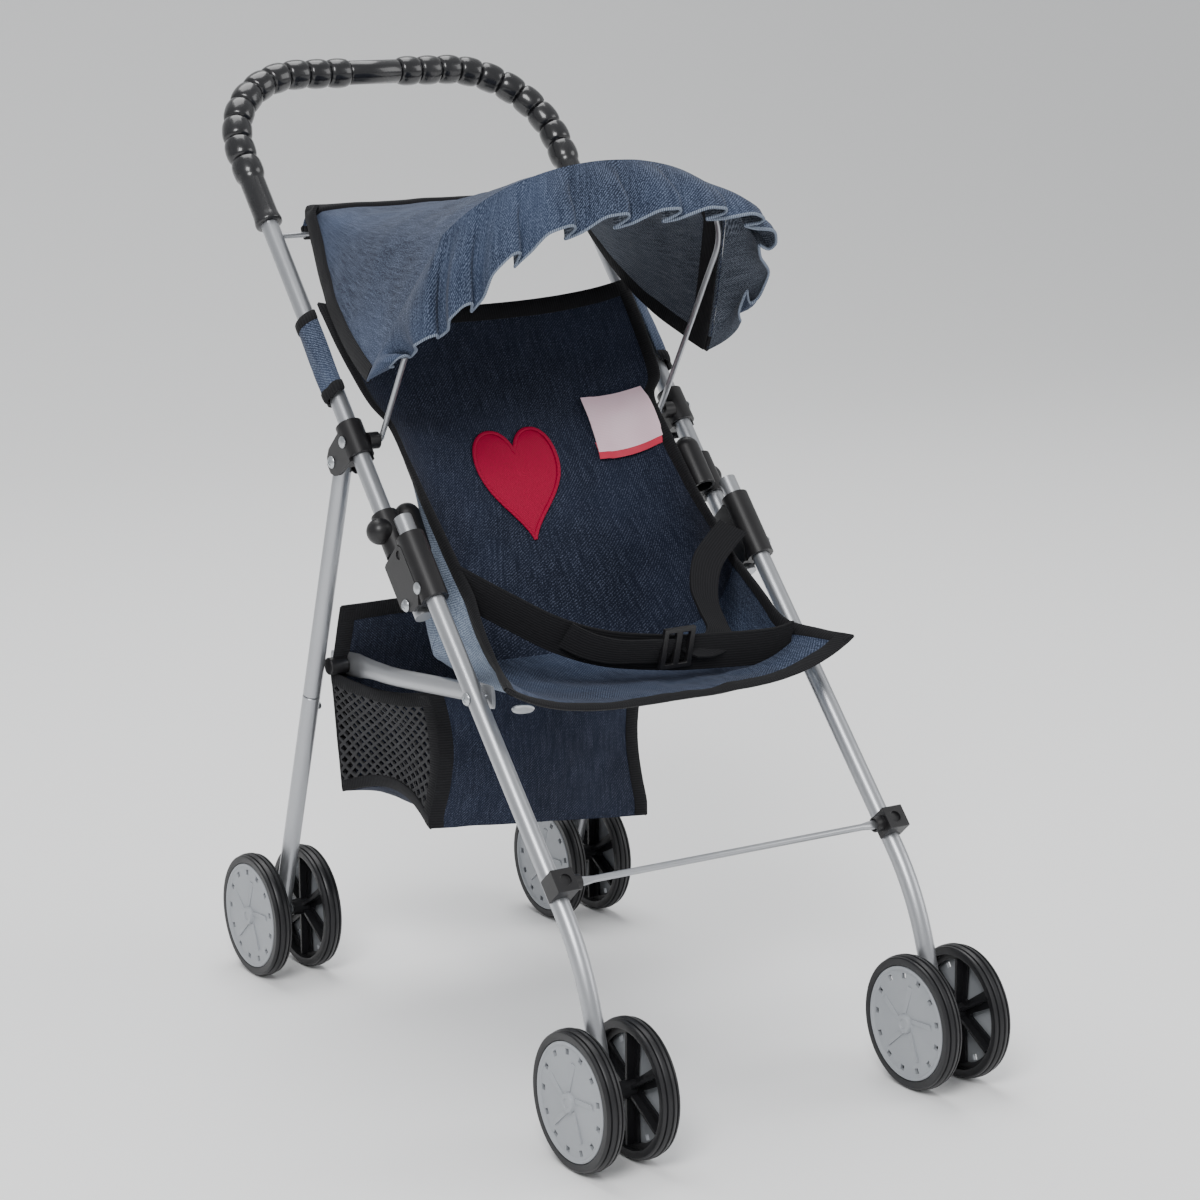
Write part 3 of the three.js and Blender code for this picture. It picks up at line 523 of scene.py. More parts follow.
MID_CHEEK = [
    (41.4, -6.5), (42.1, -4.6), (43.4, 15), (40, 18), (10, 18), (3.5, 13), (4.5, 3.8), (11.6, -5.8),
    (13, -6.8), (40.6, -6.8),
]
UPPER_CHEEK = [
    (133, 0), (132.4, -18), (130, -23), (126, -26.2), (120, -26.2), (116, -23), (113.6, -18), (111.6, 0),
]
COLLARS = {"left": (72.9, -15), "right": (87.5, 140)}
COLLAR_R, COLLAR_LENGTH = 8, 28
for side_name, tag, s in SIDES:
    mid = s * TRACK

    def beside(along, off, outwards):
        return on_handle(along, off, mid + s * outwards)

    moulded(f"mid_bracket_shell_{tag}", "front_frame", [
        rod(beside(LEG_LOW, LEG_OFF, 0), beside(46.4, LEG_OFF, 0), 8.5, 40),
        plate(MID_CHEEK, mid - 8.75, mid + 8.75),
    ], [
        rod(beside(-10, LEG_OFF, 0), beside(60, LEG_OFF, 0), BORE_R, 32),
        plate([(-30, -30), (80, -30), (80, 6.4), (-30, 6.4)], mid - SLOT_HALF, mid + SLOT_HALF),
        rod(beside(11, 0, -SLOT_HALF), beside(11, 0, SLOT_HALF), 11.4, 40),
        turned(beside(38, 12.5, 8.0), X * s, [(0, 0), (2.6, 0), (2.9, 2), (0, 2)], 24),
    ], nylon, [f"mid_bracket_{tag}"])
    lug_end = mirrored(BOW + X * 102.3, s)
    moulded(f"upper_bracket_shell_{tag}", "handle_frame", [
        rod(beside(113.6, 0, 0), beside(136.7, 0, 0), 8.2, 40),
        plate(UPPER_CHEEK, mid - 8.3, mid + 8.3),
        rod(mirrored(BOW + X * (TRACK - 6), s), lug_end, 5.2, 32),
    ], [
        rod(beside(105, 0, 0), beside(145, 0, 0), BORE_R, 32),
        plate([(100, -40), (112, -8.6), (140, -8.6), (145, -40)], mid - SLOT_HALF, mid + SLOT_HALF),
        rod(mirrored(BOW + X * 107.6, s), mirrored(BOW + X * 95, s), WIRE_R + 0.2, 20),
    ], nylon, [f"upper_bracket_{tag}"])

    dome, turn = COLLARS[side_name]
    turn = math.radians(turn)

    def around(along, distance):
        return on_handle(along, distance * math.sin(turn), mid + distance * math.cos(turn))

    mouth = dome - COLLAR_LENGTH
    cup = [(0, 0), (7.7, 0), (COLLAR_R, 0.6), (COLLAR_R, COLLAR_LENGTH)]
    for degrees in range(10, 90, 10):
        a = math.radians(degrees)
        cup.append((COLLAR_R * math.cos(a), COLLAR_LENGTH + COLLAR_R * math.sin(a)))
    cup.append((0, COLLAR_LENGTH + COLLAR_R))
    ball = [(0, 0)]
    for k in range(1, 20):
        a = math.pi * k / 20
        ball.append((COLLAR_R * math.sin(a), COLLAR_R - COLLAR_R * math.cos(a)))
    ball.append((0, 2 * COLLAR_R))
    moulded(f"lock_collar_shell_{tag}", f"collar_{side_name}", [
        rod(beside(mouth, 0, 0), beside(dome, 0, 0), COLLAR_R, 40),
        turned(around(mouth, LEG_OFF), UP_TUBE, cup, 40),
        turned(around(mouth + 2, 9.2), UP_TUBE, [(0, 0), (3, 0), (3, 22), (0, 22)], 16),
        turned(around(mouth + 16, -8.5) - UP_TUBE * COLLAR_R, UP_TUBE, ball, 40),
    ], [
        rod(around(mouth - 5, LEG_OFF), around(dome - 2, LEG_OFF), TUBE_R + 0.4, 32),
        rod(beside(mouth - 10, 0, 0), beside(dome + 20, 0, 0), BORE_R, 32),
    ], nylon, [f"lock_collar_{tag}"])

    leg_low, knee = on_handle(LEG_LOW, LEG_OFF, mid), Vector((mid, *KNEE))
    seat_on = Vector((mid, *CROSSBAR_AT))
    along_leg = (leg_low - knee).normalized()
    off_leg = X.cross(along_leg)
    corners = [
        seat_on + along_leg * a * 7 + off_leg * b * 7 + X * x
        for x in (-7 - s * 0.5, 7 - s * 0.5) for a, b in ((-1, -1), (1, -1), (1, 1), (-1, 1))
    ]
    leg_core = tube(bent([leg_low, knee, Vector((mid, FRONT_AXLE.y - 2.4, 32))], KNEE_BEND), X, BORE_R)
    moulded(f"crossbar_fitting_block_{tag}", "front_frame", [
        (corners, BOX_FACES),
        rod(seat_on - X * s * 5, seat_on - X * s * 13, 4.6, 28),
    ], [
        leg_core,
        rod(seat_on - X * s * 5.2, seat_on - X * s * 25, 3.4, 24),
        turned(seat_on + off_leg * 5.4 - X * s * 1, off_leg, [(0, 0), (3.4, 0), (3.4, 3), (0, 3)], 28),
    ], nylon, [f"crossbar_fitting_{tag}"], edge=1.6)
    boss = turned(Vector((s * 107.4, BAR_REAR.y, BAR_REAR.z)), -X * s, [
        (0, 0), (5.1, 0), (5.5, 0.5), (5.5, 11.8), (5.1, 12.2), (1.5, 12.2), (1.5, 16.2), (4, 16.2),
        (3.2, 17.2), (1.6, 17.6), (0, 17.6),
    ])
    piece(f"seat_bar_boss_{tag}", f"seat_bar_{side_name}", boss, nylon, [f"seat_bar_spacer_{tag}"])


# Rivets, axles and buttons. Zinc-plated steel, with a stamped cross in each domed rivet head.
zinc, shader, place, _ = new_finish("zinc_plate", Metallic=1.0)
bloom = place.grain(350, 3)
feed(
    shader,
    Base_Color=bloom.mix((0.34, 0.36, 0.38), (0.60, 0.62, 0.64)),
    Roughness=0.22 + 0.25 * bloom,
    Normal=bloom.bump(0.08, 0.0002),
)


def rivet(name, body, a, b, nodes):
    """Domed head, shank and domed head; the cross is a pair of shallow grooves in each dome."""
    axis = (b - a).normalized()
    reach = (b - a).length
    profile = [
        (0, -1.8), (1.6, -1.65), (2.9, -1.15), (3.6, -0.4), (3.9, 0), (1.5, 0), (1.5, reach), (3.9, reach),
        (3.6, reach + 0.4), (2.9, reach + 1.15), (1.6, reach + 1.65), (0, reach + 1.8),
    ]
    grooves = []
    for end in (-2.0, reach + 1.2):
        u = axis.orthogonal().normalized()
        for first, second in ((u, axis.cross(u)), (axis.cross(u), u)):
            base = a + axis * end
            points = [
                base + first * i * 2.3 + second * j * 0.35 + axis * k
                for k in (0, 0.8) for i, j in ((-1, -1), (1, -1), (1, 1), (-1, 1))
            ]
            grooves.append((points, BOX_FACES))
    return moulded(name, body, [turned(a, axis, profile, 36)], grooves, zinc, nodes, edge=0.12)


WHEEL_R = 40
for side_name, tag, s in SIDES:
    mid = s * TRACK
    fold_ends = [on_handle(11, 0, mid + s * end * 9.05) for end in (-1, 1)]
    rivet(f"fold_pivot_rivet_{tag}", "front_frame", *fold_ends, [f"fold_rivet_{tag}"])
    rear_pin = mirrored(REAR_TOP, s)
    rivet(f"rear_leg_rivet_{tag}", "handle_frame", rear_pin - X * 8.6, rear_pin + X * 8.6,
          [f"leg_pivot_rivet_{tag}"])
    bar_ends = [Vector((s * x, BAR_FRONT.y, BAR_FRONT.z)) for x in (105.6, TRACK + 5.8)]
    rivet(f"seat_bar_rivet_{tag}", "front_frame", *bar_ends, [f"bar_rivet_{tag}"])
    for label, along, off, body in (
        ("leg_fixing", 11.8, LEG_OFF, "front_frame"), ("tube_fixing", 125.3, 0, "handle_frame"),
    ):
        head = turned(on_handle(along, off, mid + s * 8.3), X * s, [
            (0, 0), (3.6, 0), (3.6, 0.6), (3.0, 1.2), (1.6, 1.75), (0, 1.9),
        ], 36)
        piece(f"{label}_rivet_{tag}", body, head, zinc)
    down = (mirrored(REAR_AXLE, s) - rear_pin).normalized()
    button_at = rear_pin + down * ((REAR_TOP.z - SEAM_Z) / -down.z + 9)
    piece(f"spring_button_{tag}", f"snap_button_{side_name}", turned(button_at - X * s * 2.4, -X * s, [
        (0, 0), (2.4, 0), (2.4, 3.8), (2.2, 4.5), (1.5, 4.95), (0, 5.1),
    ], 28), zinc, [f"snap_button_{tag}"])
    for end, axle, body in (
        ("front", Vector((mid, FRONT_AXLE.y, WHEEL_R)), "front_frame"),
        ("rear", mirrored(REAR_AXLE, s), f"rear_leg_{side_name}"),
    ):
        pin = turned(axle, X, [
            (0, -24), (2, -24), (2, -6.6), (3.6, -6.4), (3.6, -5.6), (2, -5.4), (2, 5.4), (3.6, 5.6),
            (3.6, 6.4), (2, 6.6), (2, 24), (0, 24),
        ], 28)
        piece(f"axle_pin_{end}_{tag}", body, pin, zinc, [f"axle_{end}_{side_name}"])


# Wheels. Each is one black moulding: ribbed tyre, six wide spokes with a rib down each, and a hub.
# A grey cap clips on the outer face; it has a ring of square holes, five shallow blades and a boss.
tyre_black, shader, place, _ = new_finish("tyre_black", Specular_IOR_Level=0.4)
wear = place.grain(30, 4)
dust = place.grain(700)
feed(
    shader,
    Base_Color=(wear * 0.7 + dust * 0.3).mix((0.004, 0.004, 0.005), (0.014, 0.014, 0.016)),
    Roughness=0.3 + 0.22 * wear,
    Normal=dust.bump(0.05, 0.0003),
)
cap_grey, shader, place, _ = new_finish("cap_grey", Specular_IOR_Level=0.45)
haze = place.grain(35, 3)
feed(
    shader,
    Base_Color=haze.mix((0.27, 0.285, 0.305), (0.34, 0.355, 0.375)),
    Roughness=0.38 + 0.12 * haze,
    Normal=place.grain(1800).bump(0.05, 0.0002),
)
TYRE_PROFILE = [
    (34.3, 12.4), (34.9, 12.2), (38.2, 12.2), (38.9, 12.8), (39.2, 13.9), (38.5, 14.2), (38.5, 14.8),
    (39.4, 15.1), (39.9, 16.0), (WHEEL_R, 17.0), (39.2, 17.4), (39.2, 18.3), (WHEEL_R, 18.7), (39.9, 19.8),
    (39.4, 20.7), (38.5, 21.0), (38.5, 21.6), (39.2, 21.9), (38.9, 23.0), (38.2, 23.6), (35.0, 23.6),
    (34.3, 23.3),
]


def spoke_block(hub, axis, angle, heights, corners):
    """A block standing on a spoke's line: (out, across) corners, from one height to the other."""
    out = Vector((0, math.cos(angle), math.sin(angle)))
    wide = axis.cross(out)
    return [hub + out * r + wide * w + axis * h for h in heights for r, w in corners], BOX_FACES


def wheel(hub, s):
    axis = X * s
    ring = turned(hub, axis, TYRE_PROFILE, 96)
    seat = turned(hub, axis, [(30.8, 17.2), (34.4, 17.2), (34.4, 19.2), (30.8, 19.2)], 96)
    nave = turned(hub, axis, [
        (2.1, 6.6), (4.4, 6.6), (5, 7.2), (5.6, 17.4), (9, 17.4), (9, 19.2), (2.1, 19.2),
    ])
    shells = [ring, seat, nave]
    for k in range(6):
        angle = math.pi * (k / 3 + 1 / 6)
        for half_in, half_out, heights in ((3.6, 5.6, (17.5, 19.1)), (0.9, 0.9, (13.2, 17.6))):
            corners = ((5, -half_in), (32.5, -half_out), (32.5, half_out), (5, half_in))
            shells.append(spoke_block(hub, axis, angle, heights, corners))
    return joined(*shells)


def cap(hub, s):
    axis = X * s
    body = turned(hub, axis, [
        (0, 20.6), (33.2, 20.6), (33.8, 21.2), (33.8, 23.4), (33.3, 23.9), (32.2, 23.9), (31.4, 23.2),
        (30.4, 22.6), (6.6, 23.3), (5.9, 23.6), (5.5, 25.3), (5.0, 25.8), (3.0, 25.9), (2.6, 25.2), (0, 25.2),
    ], 96)
    window = ((26.6, -1.7), (29.9, -1.7), (29.9, 1.7), (26.6, 1.7))
    cuts = [spoke_block(hub, axis, 2 * math.pi * k / 13, (18, 26), window) for k in range(13)]
    blade = ((6, -0.5), (22.5, -5.6), (23.2, -2.2), (6, 2.4))
    blades = [spoke_block(hub, axis, 2 * math.pi * k / 5 + 0.3, (22.4, 23.9), blade) for k in range(5)]
    for corners, _ in blades:
        corners[5] -= axis
    return body, cuts, blades


for end in ("front", "rear"):
    for side_name, tag, s in SIDES:
        for where, out_sign in (("outer", s), ("inner", -s)):
            joint = f"wheel_{end}_{side_name}_{where}"
            hub = pivots[joint + "_spin"]
            piece(f"{joint}_moulding", joint, wheel(hub, out_sign), tyre_black, [joint], sharp=30)
            disc, holes, blades = cap(hub, out_sign)
            moulded(f"{joint}_cover", joint, [disc, *blades], holes, cap_grey,
                    [f"wheel_cap_{end}_{side_name}_{where}"], edge=0.15)


# Seat. One sling of dark indigo denim, hung from the handle tubes and the front legs, with black
# grosgrain tape folded over its open edges. The outer face of its sides is the pale back of the
# cloth, and its wings wrap round the handle tubes.
def denim(name, deep, pale, worn, flecks):
    """Twill: fine slanted ribs, broken pale weft flecks, long streaks down the warp, soft fading."""
    made, shader, place, flat = new_finish(name, Specular_IOR_Level=0.2, Sheen_Weight=0.05)
    warp = flat.node("Mapping", {}, {"Vector": flat, "Scale": (2200, 1000, 1)})
    streak = flat.node("Mapping", {}, {"Vector": flat, "Scale": (700, 55, 1)})
    threads = warp.grain(1.0, 1.5)
    streaks = streak.grain(1.0, 2.0)
    fading = place.grain(16, 3)
    ribs = flat.node("TexWave", {"wave_type": "BANDS", "bands_direction": "DIAGONAL"},
                     {"Vector": flat, "Scale": 330.0, "Distortion": 2.5, "Detail": 2.0, "Detail Scale": 3.0})
    fleck = (threads * 0.66 + streaks * 0.24 + ribs * 0.14).band(flecks, flecks + 0.26)
    ground = fading.band(0.35, 0.7).mix(deep, worn)
    feed(
        shader,
        Base_Color=fleck.mix(ground, pale),
        Roughness=0.82 + 0.12 * threads,
        Normal=(ribs * 0.6 + threads * 0.8 + streaks * 0.4).bump(0.35, 0.0004),
    )
    return made


dark_denim = denim("dark_denim", (0.006, 0.009, 0.020), (0.085, 0.100, 0.150), (0.012, 0.017, 0.035), 0.50)
lap_denim = denim("lap_denim", (0.012, 0.019, 0.040), (0.110, 0.140, 0.215), (0.030, 0.045, 0.085), 0.46)
denim_back = denim("denim_back", (0.060, 0.080, 0.120), (0.260, 0.310, 0.390), (0.100, 0.130, 0.185), 0.42)

black_tape, shader, place, flat = new_finish("black_tape", Sheen_Weight=0.03, Specular_IOR_Level=0.2)
ribs = flat.node("TexWave", {"wave_type": "BANDS", "bands_direction": "Y"},
                 {"Vector": flat, "Scale": 190.0, "Distortion": 0.6})
lint = place.grain(500, 2)
feed(
    shader,
    Base_Color=(ribs * 0.5 + lint * 0.5).mix((0.003, 0.003, 0.004), (0.015, 0.015, 0.017)),
    Roughness=0.75 + 0.2 * lint,
    Normal=(ribs + lint * 0.6).bump(0.35, 0.0004),
)


def spline(values, t):
    """Smooth value through a list, t from 0 to its last place."""
    i = min(int(t), len(values) - 2)
    f = t - i
    p0, p1, p2, p3 = (values[max(0, min(len(values) - 1, j))] for j in (i - 1, i, i + 1, i + 2))
    square, cube = 2 * p0 - 5 * p1 + 4 * p2 - p3, 3 * p1 - p0 - 3 * p2 + p3
    return 0.5 * (2 * p1 + (p2 - p0) * f + square * f * f + cube * f ** 3)


def lofted(rows, count):
    """Rows of points, resampled smoothly to count rows."""
    columns = list(zip(*rows))
    return [[spline(column, (len(rows) - 1) * i / (count - 1)) for column in columns] for i in range(count)]


def normal_at(grid, i, j):
    down = grid[min(i + 1, len(grid) - 1)][j] - grid[max(i - 1, 0)][j]
    across = grid[i][min(j + 1, len(grid[0]) - 1)] - grid[i][max(j - 1, 0)]
    return down.cross(across).normalized()


def creased(grid, depth, size, seed):
    """Soft wrinkles: points moved along the cloth's normal by smooth noise, least at the edges."""
    rows, cols = len(grid), len(grid[0])
    moved = []
    for i, row in enumerate(grid):
        moved.append([])
        for j, p in enumerate(row):
            edge = min(1, 5 * min(i, rows - 1 - i) / rows, 5 * min(j, cols - 1 - j) / cols)
            wave = noise.noise(p / size + Vector((seed, 3 * seed, 7)))
            wave += 0.5 * noise.noise(p / size * 2.3 + Vector((seed, 0, 1)))
            moved[-1].append(p + normal_at(grid, i, j) * wave * depth * (0.25 + 0.75 * edge))
    return moved


def cloth_shell(grid, thick):
    """Both faces and the edges of a cloth, and its flat coordinates in metres."""
    rows, cols = len(grid), len(grid[0])
    points, faces, flat = [], [], []
    across, down = [0.0], [0.0]
    for j in range(1, cols):
        across.append(across[-1] + (grid[rows // 2][j] - grid[rows // 2][j - 1]).length / 1000)
    for i in range(1, rows):
        down.append(down[-1] + (grid[i][cols // 2] - grid[i - 1][cols // 2]).length / 1000)
    for face in (0.5, -0.5):
        for i in range(rows):
            for j in range(cols):
                points.append(grid[i][j] + normal_at(grid, i, j) * thick * face)
                flat.append((across[j], down[i]))
    n = rows * cols
    for i in range(rows - 1):
        for j in range(cols - 1):
            a = i * cols + j
            faces.append((a, a + cols, a + cols + 1, a + 1))
            faces.append((n + a, n + a + 1, n + a + cols + 1, n + a + cols))
    for i in range(rows - 1):
        for a, b in ((i * cols, (i + 1) * cols), ((i + 2) * cols - 1, (i + 1) * cols - 1)):
            faces.append((a, n + a, n + b, b))
    for j in range(cols - 1):
        for a, b in ((j + 1, j), (n - cols + j, n - cols + j + 1)):
            faces.append((a, n + a, n + b, b))
    return (points, faces), flat


def cloth_piece(name, body, grid, thick, finish, nodes=(), lining=None):
    """A sheet of cloth; the second face may show a lining."""
    shell, flat = cloth_shell(grid, thick)
    both_sides = 2 * (len(grid) - 1) * (len(grid[0]) - 1)
    second = (lining, lambda index: index < both_sides and index % 2 == 1) if lining else None
    return piece(name, body, shell, finish, nodes, sharp=60, uv=flat, second=second)


def edge_of(grid, which):
    """Points, inward directions and normals along one edge of a cloth."""
    rows, cols = len(grid), len(grid[0])
    spots = {
        "first": [(0, j, 1, j) for j in range(cols)],
        "last": [(rows - 1, j, rows - 2, j) for j in range(cols)],
        "low": [(i, 0, i, 1) for i in range(rows)],
        "high": [(i, cols - 1, i, cols - 2) for i in range(rows)],
    }[which]
    return [
        (grid[i][j], (grid[a][b] - grid[i][j]).normalized(), normal_at(grid, i, j)) for i, j, a, b in spots
    ]


def tape(name, body, edge, width, finish=black_tape, thick=3.4, proud=1.0):
    """Folded tape along an edge: a flat-oval section that wraps the cloth."""
    points, faces, flat = [], [], []
    half = [(0, 0.15), (0.12, 0.42), (0.5, 0.5), (0.9, 0.46), (1, 0.32)]
    section = half + [(a, -b) for a, b in reversed(half)]
    run = 0.0
    for i, (p, inward, normal) in enumerate(edge):
        if i:
            run += (p - edge[i - 1][0]).length / 1000
        for a, b in section:
            points.append(p + inward * (a * width - proud) + normal * b * thick)
            flat.append((a * width / 1000, run))
    m = len(section)
    for i in range(len(edge) - 1):
        for k in range(m):
            q = (k + 1) % m
            faces.append((i * m + k, i * m + q, (i + 1) * m + q, (i + 1) * m + k))
    faces += [tuple(range(m - 1, -1, -1)), tuple(range((len(edge) - 1) * m, len(edge) * m))]
    return piece(name, body, (points, faces), finish, sharp=50, uv=flat)


SEAT_COLS = 60
BACK_ROWS = [
    ((212, 2.5), (217, 11.5), 110.5, 110.5),
    ((180, -5), (184, 12.5), 109, 109),
    ((145, -10.5), (145, 13.7), 104, 104),
    ((127, -13), (127, 14), 97, 92),
    ((97, -18.5), (97, 15), 95, 91.5, 0.2),
    ((57, -30), (57, 17), 93.5, 91.5, 0.5),
    ((22, -40), (28, 19), 92.5, 93, 0.8),
    ((-11.5, -46.5), (1, 21.5), 92.5, 94, 0.9),
]


def sling(rows, place_point):
    """Rows of a hanging cloth: middle, rim, half widths, and how far its sides belly out past the rim."""
    grid = []
    for middle, rim, left, right_half, *belly in rows:
        row = []
        for j in range(SEAT_COLS + 1):
            u = -1 + 2 * j / SEAT_COLS
            first = middle[0] + (rim[0] - middle[0]) * u * u
            second = middle[1] + (rim[1] - middle[1]) * u ** 4
            width = u + (math.sin(u * 2.05) / math.sin(2.05) - u) * (belly[0] if belly else 0)
            row.append(place_point(first, second, width * (left if u < 0 else right_half)))
        grid.append(row)
    return grid


back_rows = sling(BACK_ROWS, on_handle)
back_grid = creased(lofted(back_rows, 64), 1.1, 34, 2)
BACK_BEND = ("front_frame", "handle_frame", on_handle(-10, 0, 0), on_handle(75, 0, 0))
seat_back = cloth_piece(
    "seat_back_cloth", BACK_BEND, back_grid, 1.6, dark_denim, ["seat_back"], lining=denim_back,
)
for label, which in (("top", "first"), ("left", "low"), ("right", "high")):
    tape(f"seat_back_tape_{label}", BACK_BEND, edge_of(back_grid, which), 11 if which == "first" else 8)

BASE_ROWS = [
    ((-30, 225.5), (-57, 268), 98, 99, 0.6),
    ((-65, 226.5), (-76, 254.5), 101.5, 102, 0.3),
    ((-98, 228.5), (-99, 251), 112, 112),
    ((-121, 229.5), (-119, 249.8), 120, 121),
]
base_rows = sling(BASE_ROWS, lambda y, z, x: Vector((x, y, z)))
base_grid = creased(lofted([back_rows[-1], *base_rows], 34), 1.8, 26, 5)
base_grid[0] = back_grid[-1]
seat_base = cloth_piece(
    "seat_base_cloth", "front_frame", base_grid, 1.6, lap_denim, ["seat_base"], lining=denim_back,
)
for label, which in (("front", "last"), ("left", "low"), ("right", "high")):
    tape(f"seat_base_tape_{label}", "front_frame", edge_of(base_grid, which), 11 if which == "last" else 8)

# Two snap discs of dull nickel under the seat's front corners.
for side_name, tag, s in SIDES:
    disc = turned(Vector((s * 96, -97, 231.5)), Vector((s * 0.25, -0.5, -0.9)), [
        (0, 0), (6.2, 0), (6.6, 0.8), (6.0, 1.8), (3, 2.3), (0, 2.4),
    ], 32)
    piece(f"seat_snap_{tag}", "front_frame", disc, zinc)

wing_denim = denim("wing_denim", (0.016, 0.023, 0.046), (0.120, 0.150, 0.215), (0.040, 0.055, 0.095), 0.44)
WING_TOP, WING_LENGTH = 214, 56
for side_name, tag, s in SIDES:
    mid = s * TRACK
    rows = []
    for i in range(14):
        t = i / 13
        row = []
        for j in range(25):
            turn = math.radians(100 - 250 * j / 24)
            reach = TUBE_R + 2.4 + 0.9 * math.sin(j * 0.9 + i * 0.4) * t
            along = WING_TOP - WING_LENGTH * t - 3 * math.sin(math.pi * j / 24)
            row.append(on_handle(along, reach * math.sin(turn) + 1.2, mid + s * reach * math.cos(turn)))
        rows.append(row)
    wing_grid = lofted(rows, 28)
    wing = cloth_piece(f"seat_wing_{tag}", "handle_frame", wing_grid, 1.4, wing_denim)
    for which in ("first", "last"):
        tape(f"seat_wing_tape_{which}_{tag}", "handle_frame", edge_of(wing_grid, which), 7, thick=2.8)

# Heart. Crimson twill with a raised border of close satin stitch, sewn to the middle of the back.
heart_cloth, shader, place, flat = new_finish("heart_satin", Specular_IOR_Level=0.2)
stitch = flat.node("TexWave", {"wave_type": "BANDS", "bands_direction": "DIAGONAL"},
                   {"Vector": flat, "Scale": 420.0, "Distortion": 1.2})
thread = place.grain(900, 2)
feed(
    shader,
    Base_Color=(stitch * 0.4 + thread * 0.6).mix((0.24, 0.0, 0.018), (0.46, 0.0, 0.050)),
    Roughness=0.5 + 0.2 * thread,
    Normal=(stitch + thread).bump(0.3, 0.0003),
)


def back_surface(along, x, lift):
    """Point on the front of the seat back."""
    half = 96 if x < 0 else 92
    heights = [(row[SEAT_COLS // 2] - TUBE_ORIGIN).dot(UP_TUBE) for row in back_grid]
    best = min(range(len(back_grid)), key=lambda i: abs(heights[i] - along))
    column = min(SEAT_COLS, max(0, round((x / half + 1) * SEAT_COLS / 2)))
    total, off = 0.0, 0.0
    for row in back_grid[max(0, best - 4):best + 5]:
        for p in row[max(0, column - 2):column + 3]:
            spot = p - TUBE_ORIGIN
            weight = 1 / ((p.x - x) ** 2 + (spot.dot(UP_TUBE) - along) ** 2 + 4)
            total += weight
            off += weight * spot.dot(OFF_TUBE)
    return on_handle(along, off / total + lift, x)


HEART = [
    ((0, 59), (5, 74), (29, 86), (29, 107)), ((29, 107), (29, 121), (22, 128), (14.5, 128)),
    ((14.5, 128), (7, 128), (1.5, 121), (0, 113)),
]
HEART_X, HEART_MIDDLE = -3, 97


def heart_edge(t):
    """Across and along, on the heart's outline from its tip round to the tip, as t goes from 0 to 1."""
    side, turn = (1, 6 * t) if t <= 0.5 else (-1, 6 * (1 - t))
    k = min(2, int(turn))
    f = turn - k
    share = ((1 - f) ** 3, 3 * f * (1 - f) ** 2, 3 * f * f * (1 - f), f ** 3)
    x, along = (sum(w * p[axis] for w, p in zip(share, HEART[k])) for axis in (0, 1))
    return side * x + HEART_X, along


rings, around_count = 8, 72
heart_points, heart_flat = [back_surface(HEART_MIDDLE, HEART_X, 2.0)], [(0.0, HEART_MIDDLE / 1000)]
for ring in range(1, rings + 1):
    for k in range(around_count):
        x, along = heart_edge(k / around_count)
        share = ring / rings
        x, along = HEART_X + (x - HEART_X) * share, HEART_MIDDLE + (along - HEART_MIDDLE) * share
        heart_points.append(back_surface(along, x, 1.9 if ring < rings else 1.0))
        heart_flat.append((x / 1000, along / 1000))
heart_faces = [(0, 1 + k, 1 + (k + 1) % around_count) for k in range(around_count)]
for ring in range(rings - 1):
    for k in range(around_count):
        a, b = 1 + ring * around_count + k, 1 + ring * around_count + (k + 1) % around_count
        heart_faces.append((a, a + around_count, b + around_count, b))
piece("heart_applique", BACK_BEND, (heart_points, heart_faces), heart_cloth, ["heart_patch"],
      sharp=60, uv=heart_flat)
outline = [heart_edge(k / 96) for k in range(97)]
border = [back_surface(along, x, 1.7) for x, along in outline]
heart_border = tube(border, OFF_TUBE, [(0.7, 1.25)] * len(border), 10)
piece("heart_border_stitch", BACK_BEND, heart_border, heart_cloth, sharp=60,
      uv=[(i % 10 / 3000, i // 10 / 500) for i in range(len(heart_border[0]))])

# Label. A folded satin ribbon, pale pink and plain, sewn in at the right edge over a red backing.
ribbon_pink, shader, place, flat = new_finish("ribbon_pink", Sheen_Weight=0.3)
sheen_line = flat.node("TexWave", {"wave_type": "BANDS", "bands_direction": "Y"},
                       {"Vector": flat, "Scale": 300.0, "Distortion": 0.8})
feed(
    shader,
    Base_Color=(place.grain(40, 2) * 0.7 + sheen_line * 0.3).mix((0.72, 0.44, 0.53), (0.88, 0.72, 0.78)),
    Roughness=0.45 + 0.15 * sheen_line,
    Normal=sheen_line.bump(0.15, 0.0003),
)
ribbon_red, shader, place, flat = new_finish("ribbon_red", Sheen_Weight=0.2)
feed(
    shader,
    Base_Color=place.grain(60).mix((0.45, 0.004, 0.03), (0.65, 0.02, 0.07)),
    Roughness=0.5 + 0.2 * place.grain(500),
)
for name, finish, low, high, lift in (
    ("label_ribbon", ribbon_pink, 105, 143, 3.0), ("label_backing", ribbon_red, 101.0, 112, 1.9),
):
    grid = [
        [
            back_surface(
                high - (high - low) * i / 8 - 0.45 * j,
                54 + 35 * j / 12,
                lift + 0.8 * math.sin(math.pi * i / 8),
            )
            for j in range(13)
        ]
        for i in range(9)
    ]
    ribbon = cloth_piece(name, BACK_BEND, grid, 0.7, finish)
    (high - low) / 1000

# Harness. Black woven webbing from both sides of the seat to a slider in the lap.
def webbing(name, line, lean, width=20, body="front_frame", nodes=()):
    centre = [spline(line, (len(line) - 1) * k / 60) for k in range(61)]
    grid = [[p + lean.normalized() * half * width / 2 for p in centre] for half in (-1, -0.5, 0, 0.5, 1)]
    strap = cloth_piece(name, body, grid, 1.5, black_tape, nodes)
    length = sum((b - a).length for a, b in zip(grid[2], grid[2][1:])) / 1000
    return strap


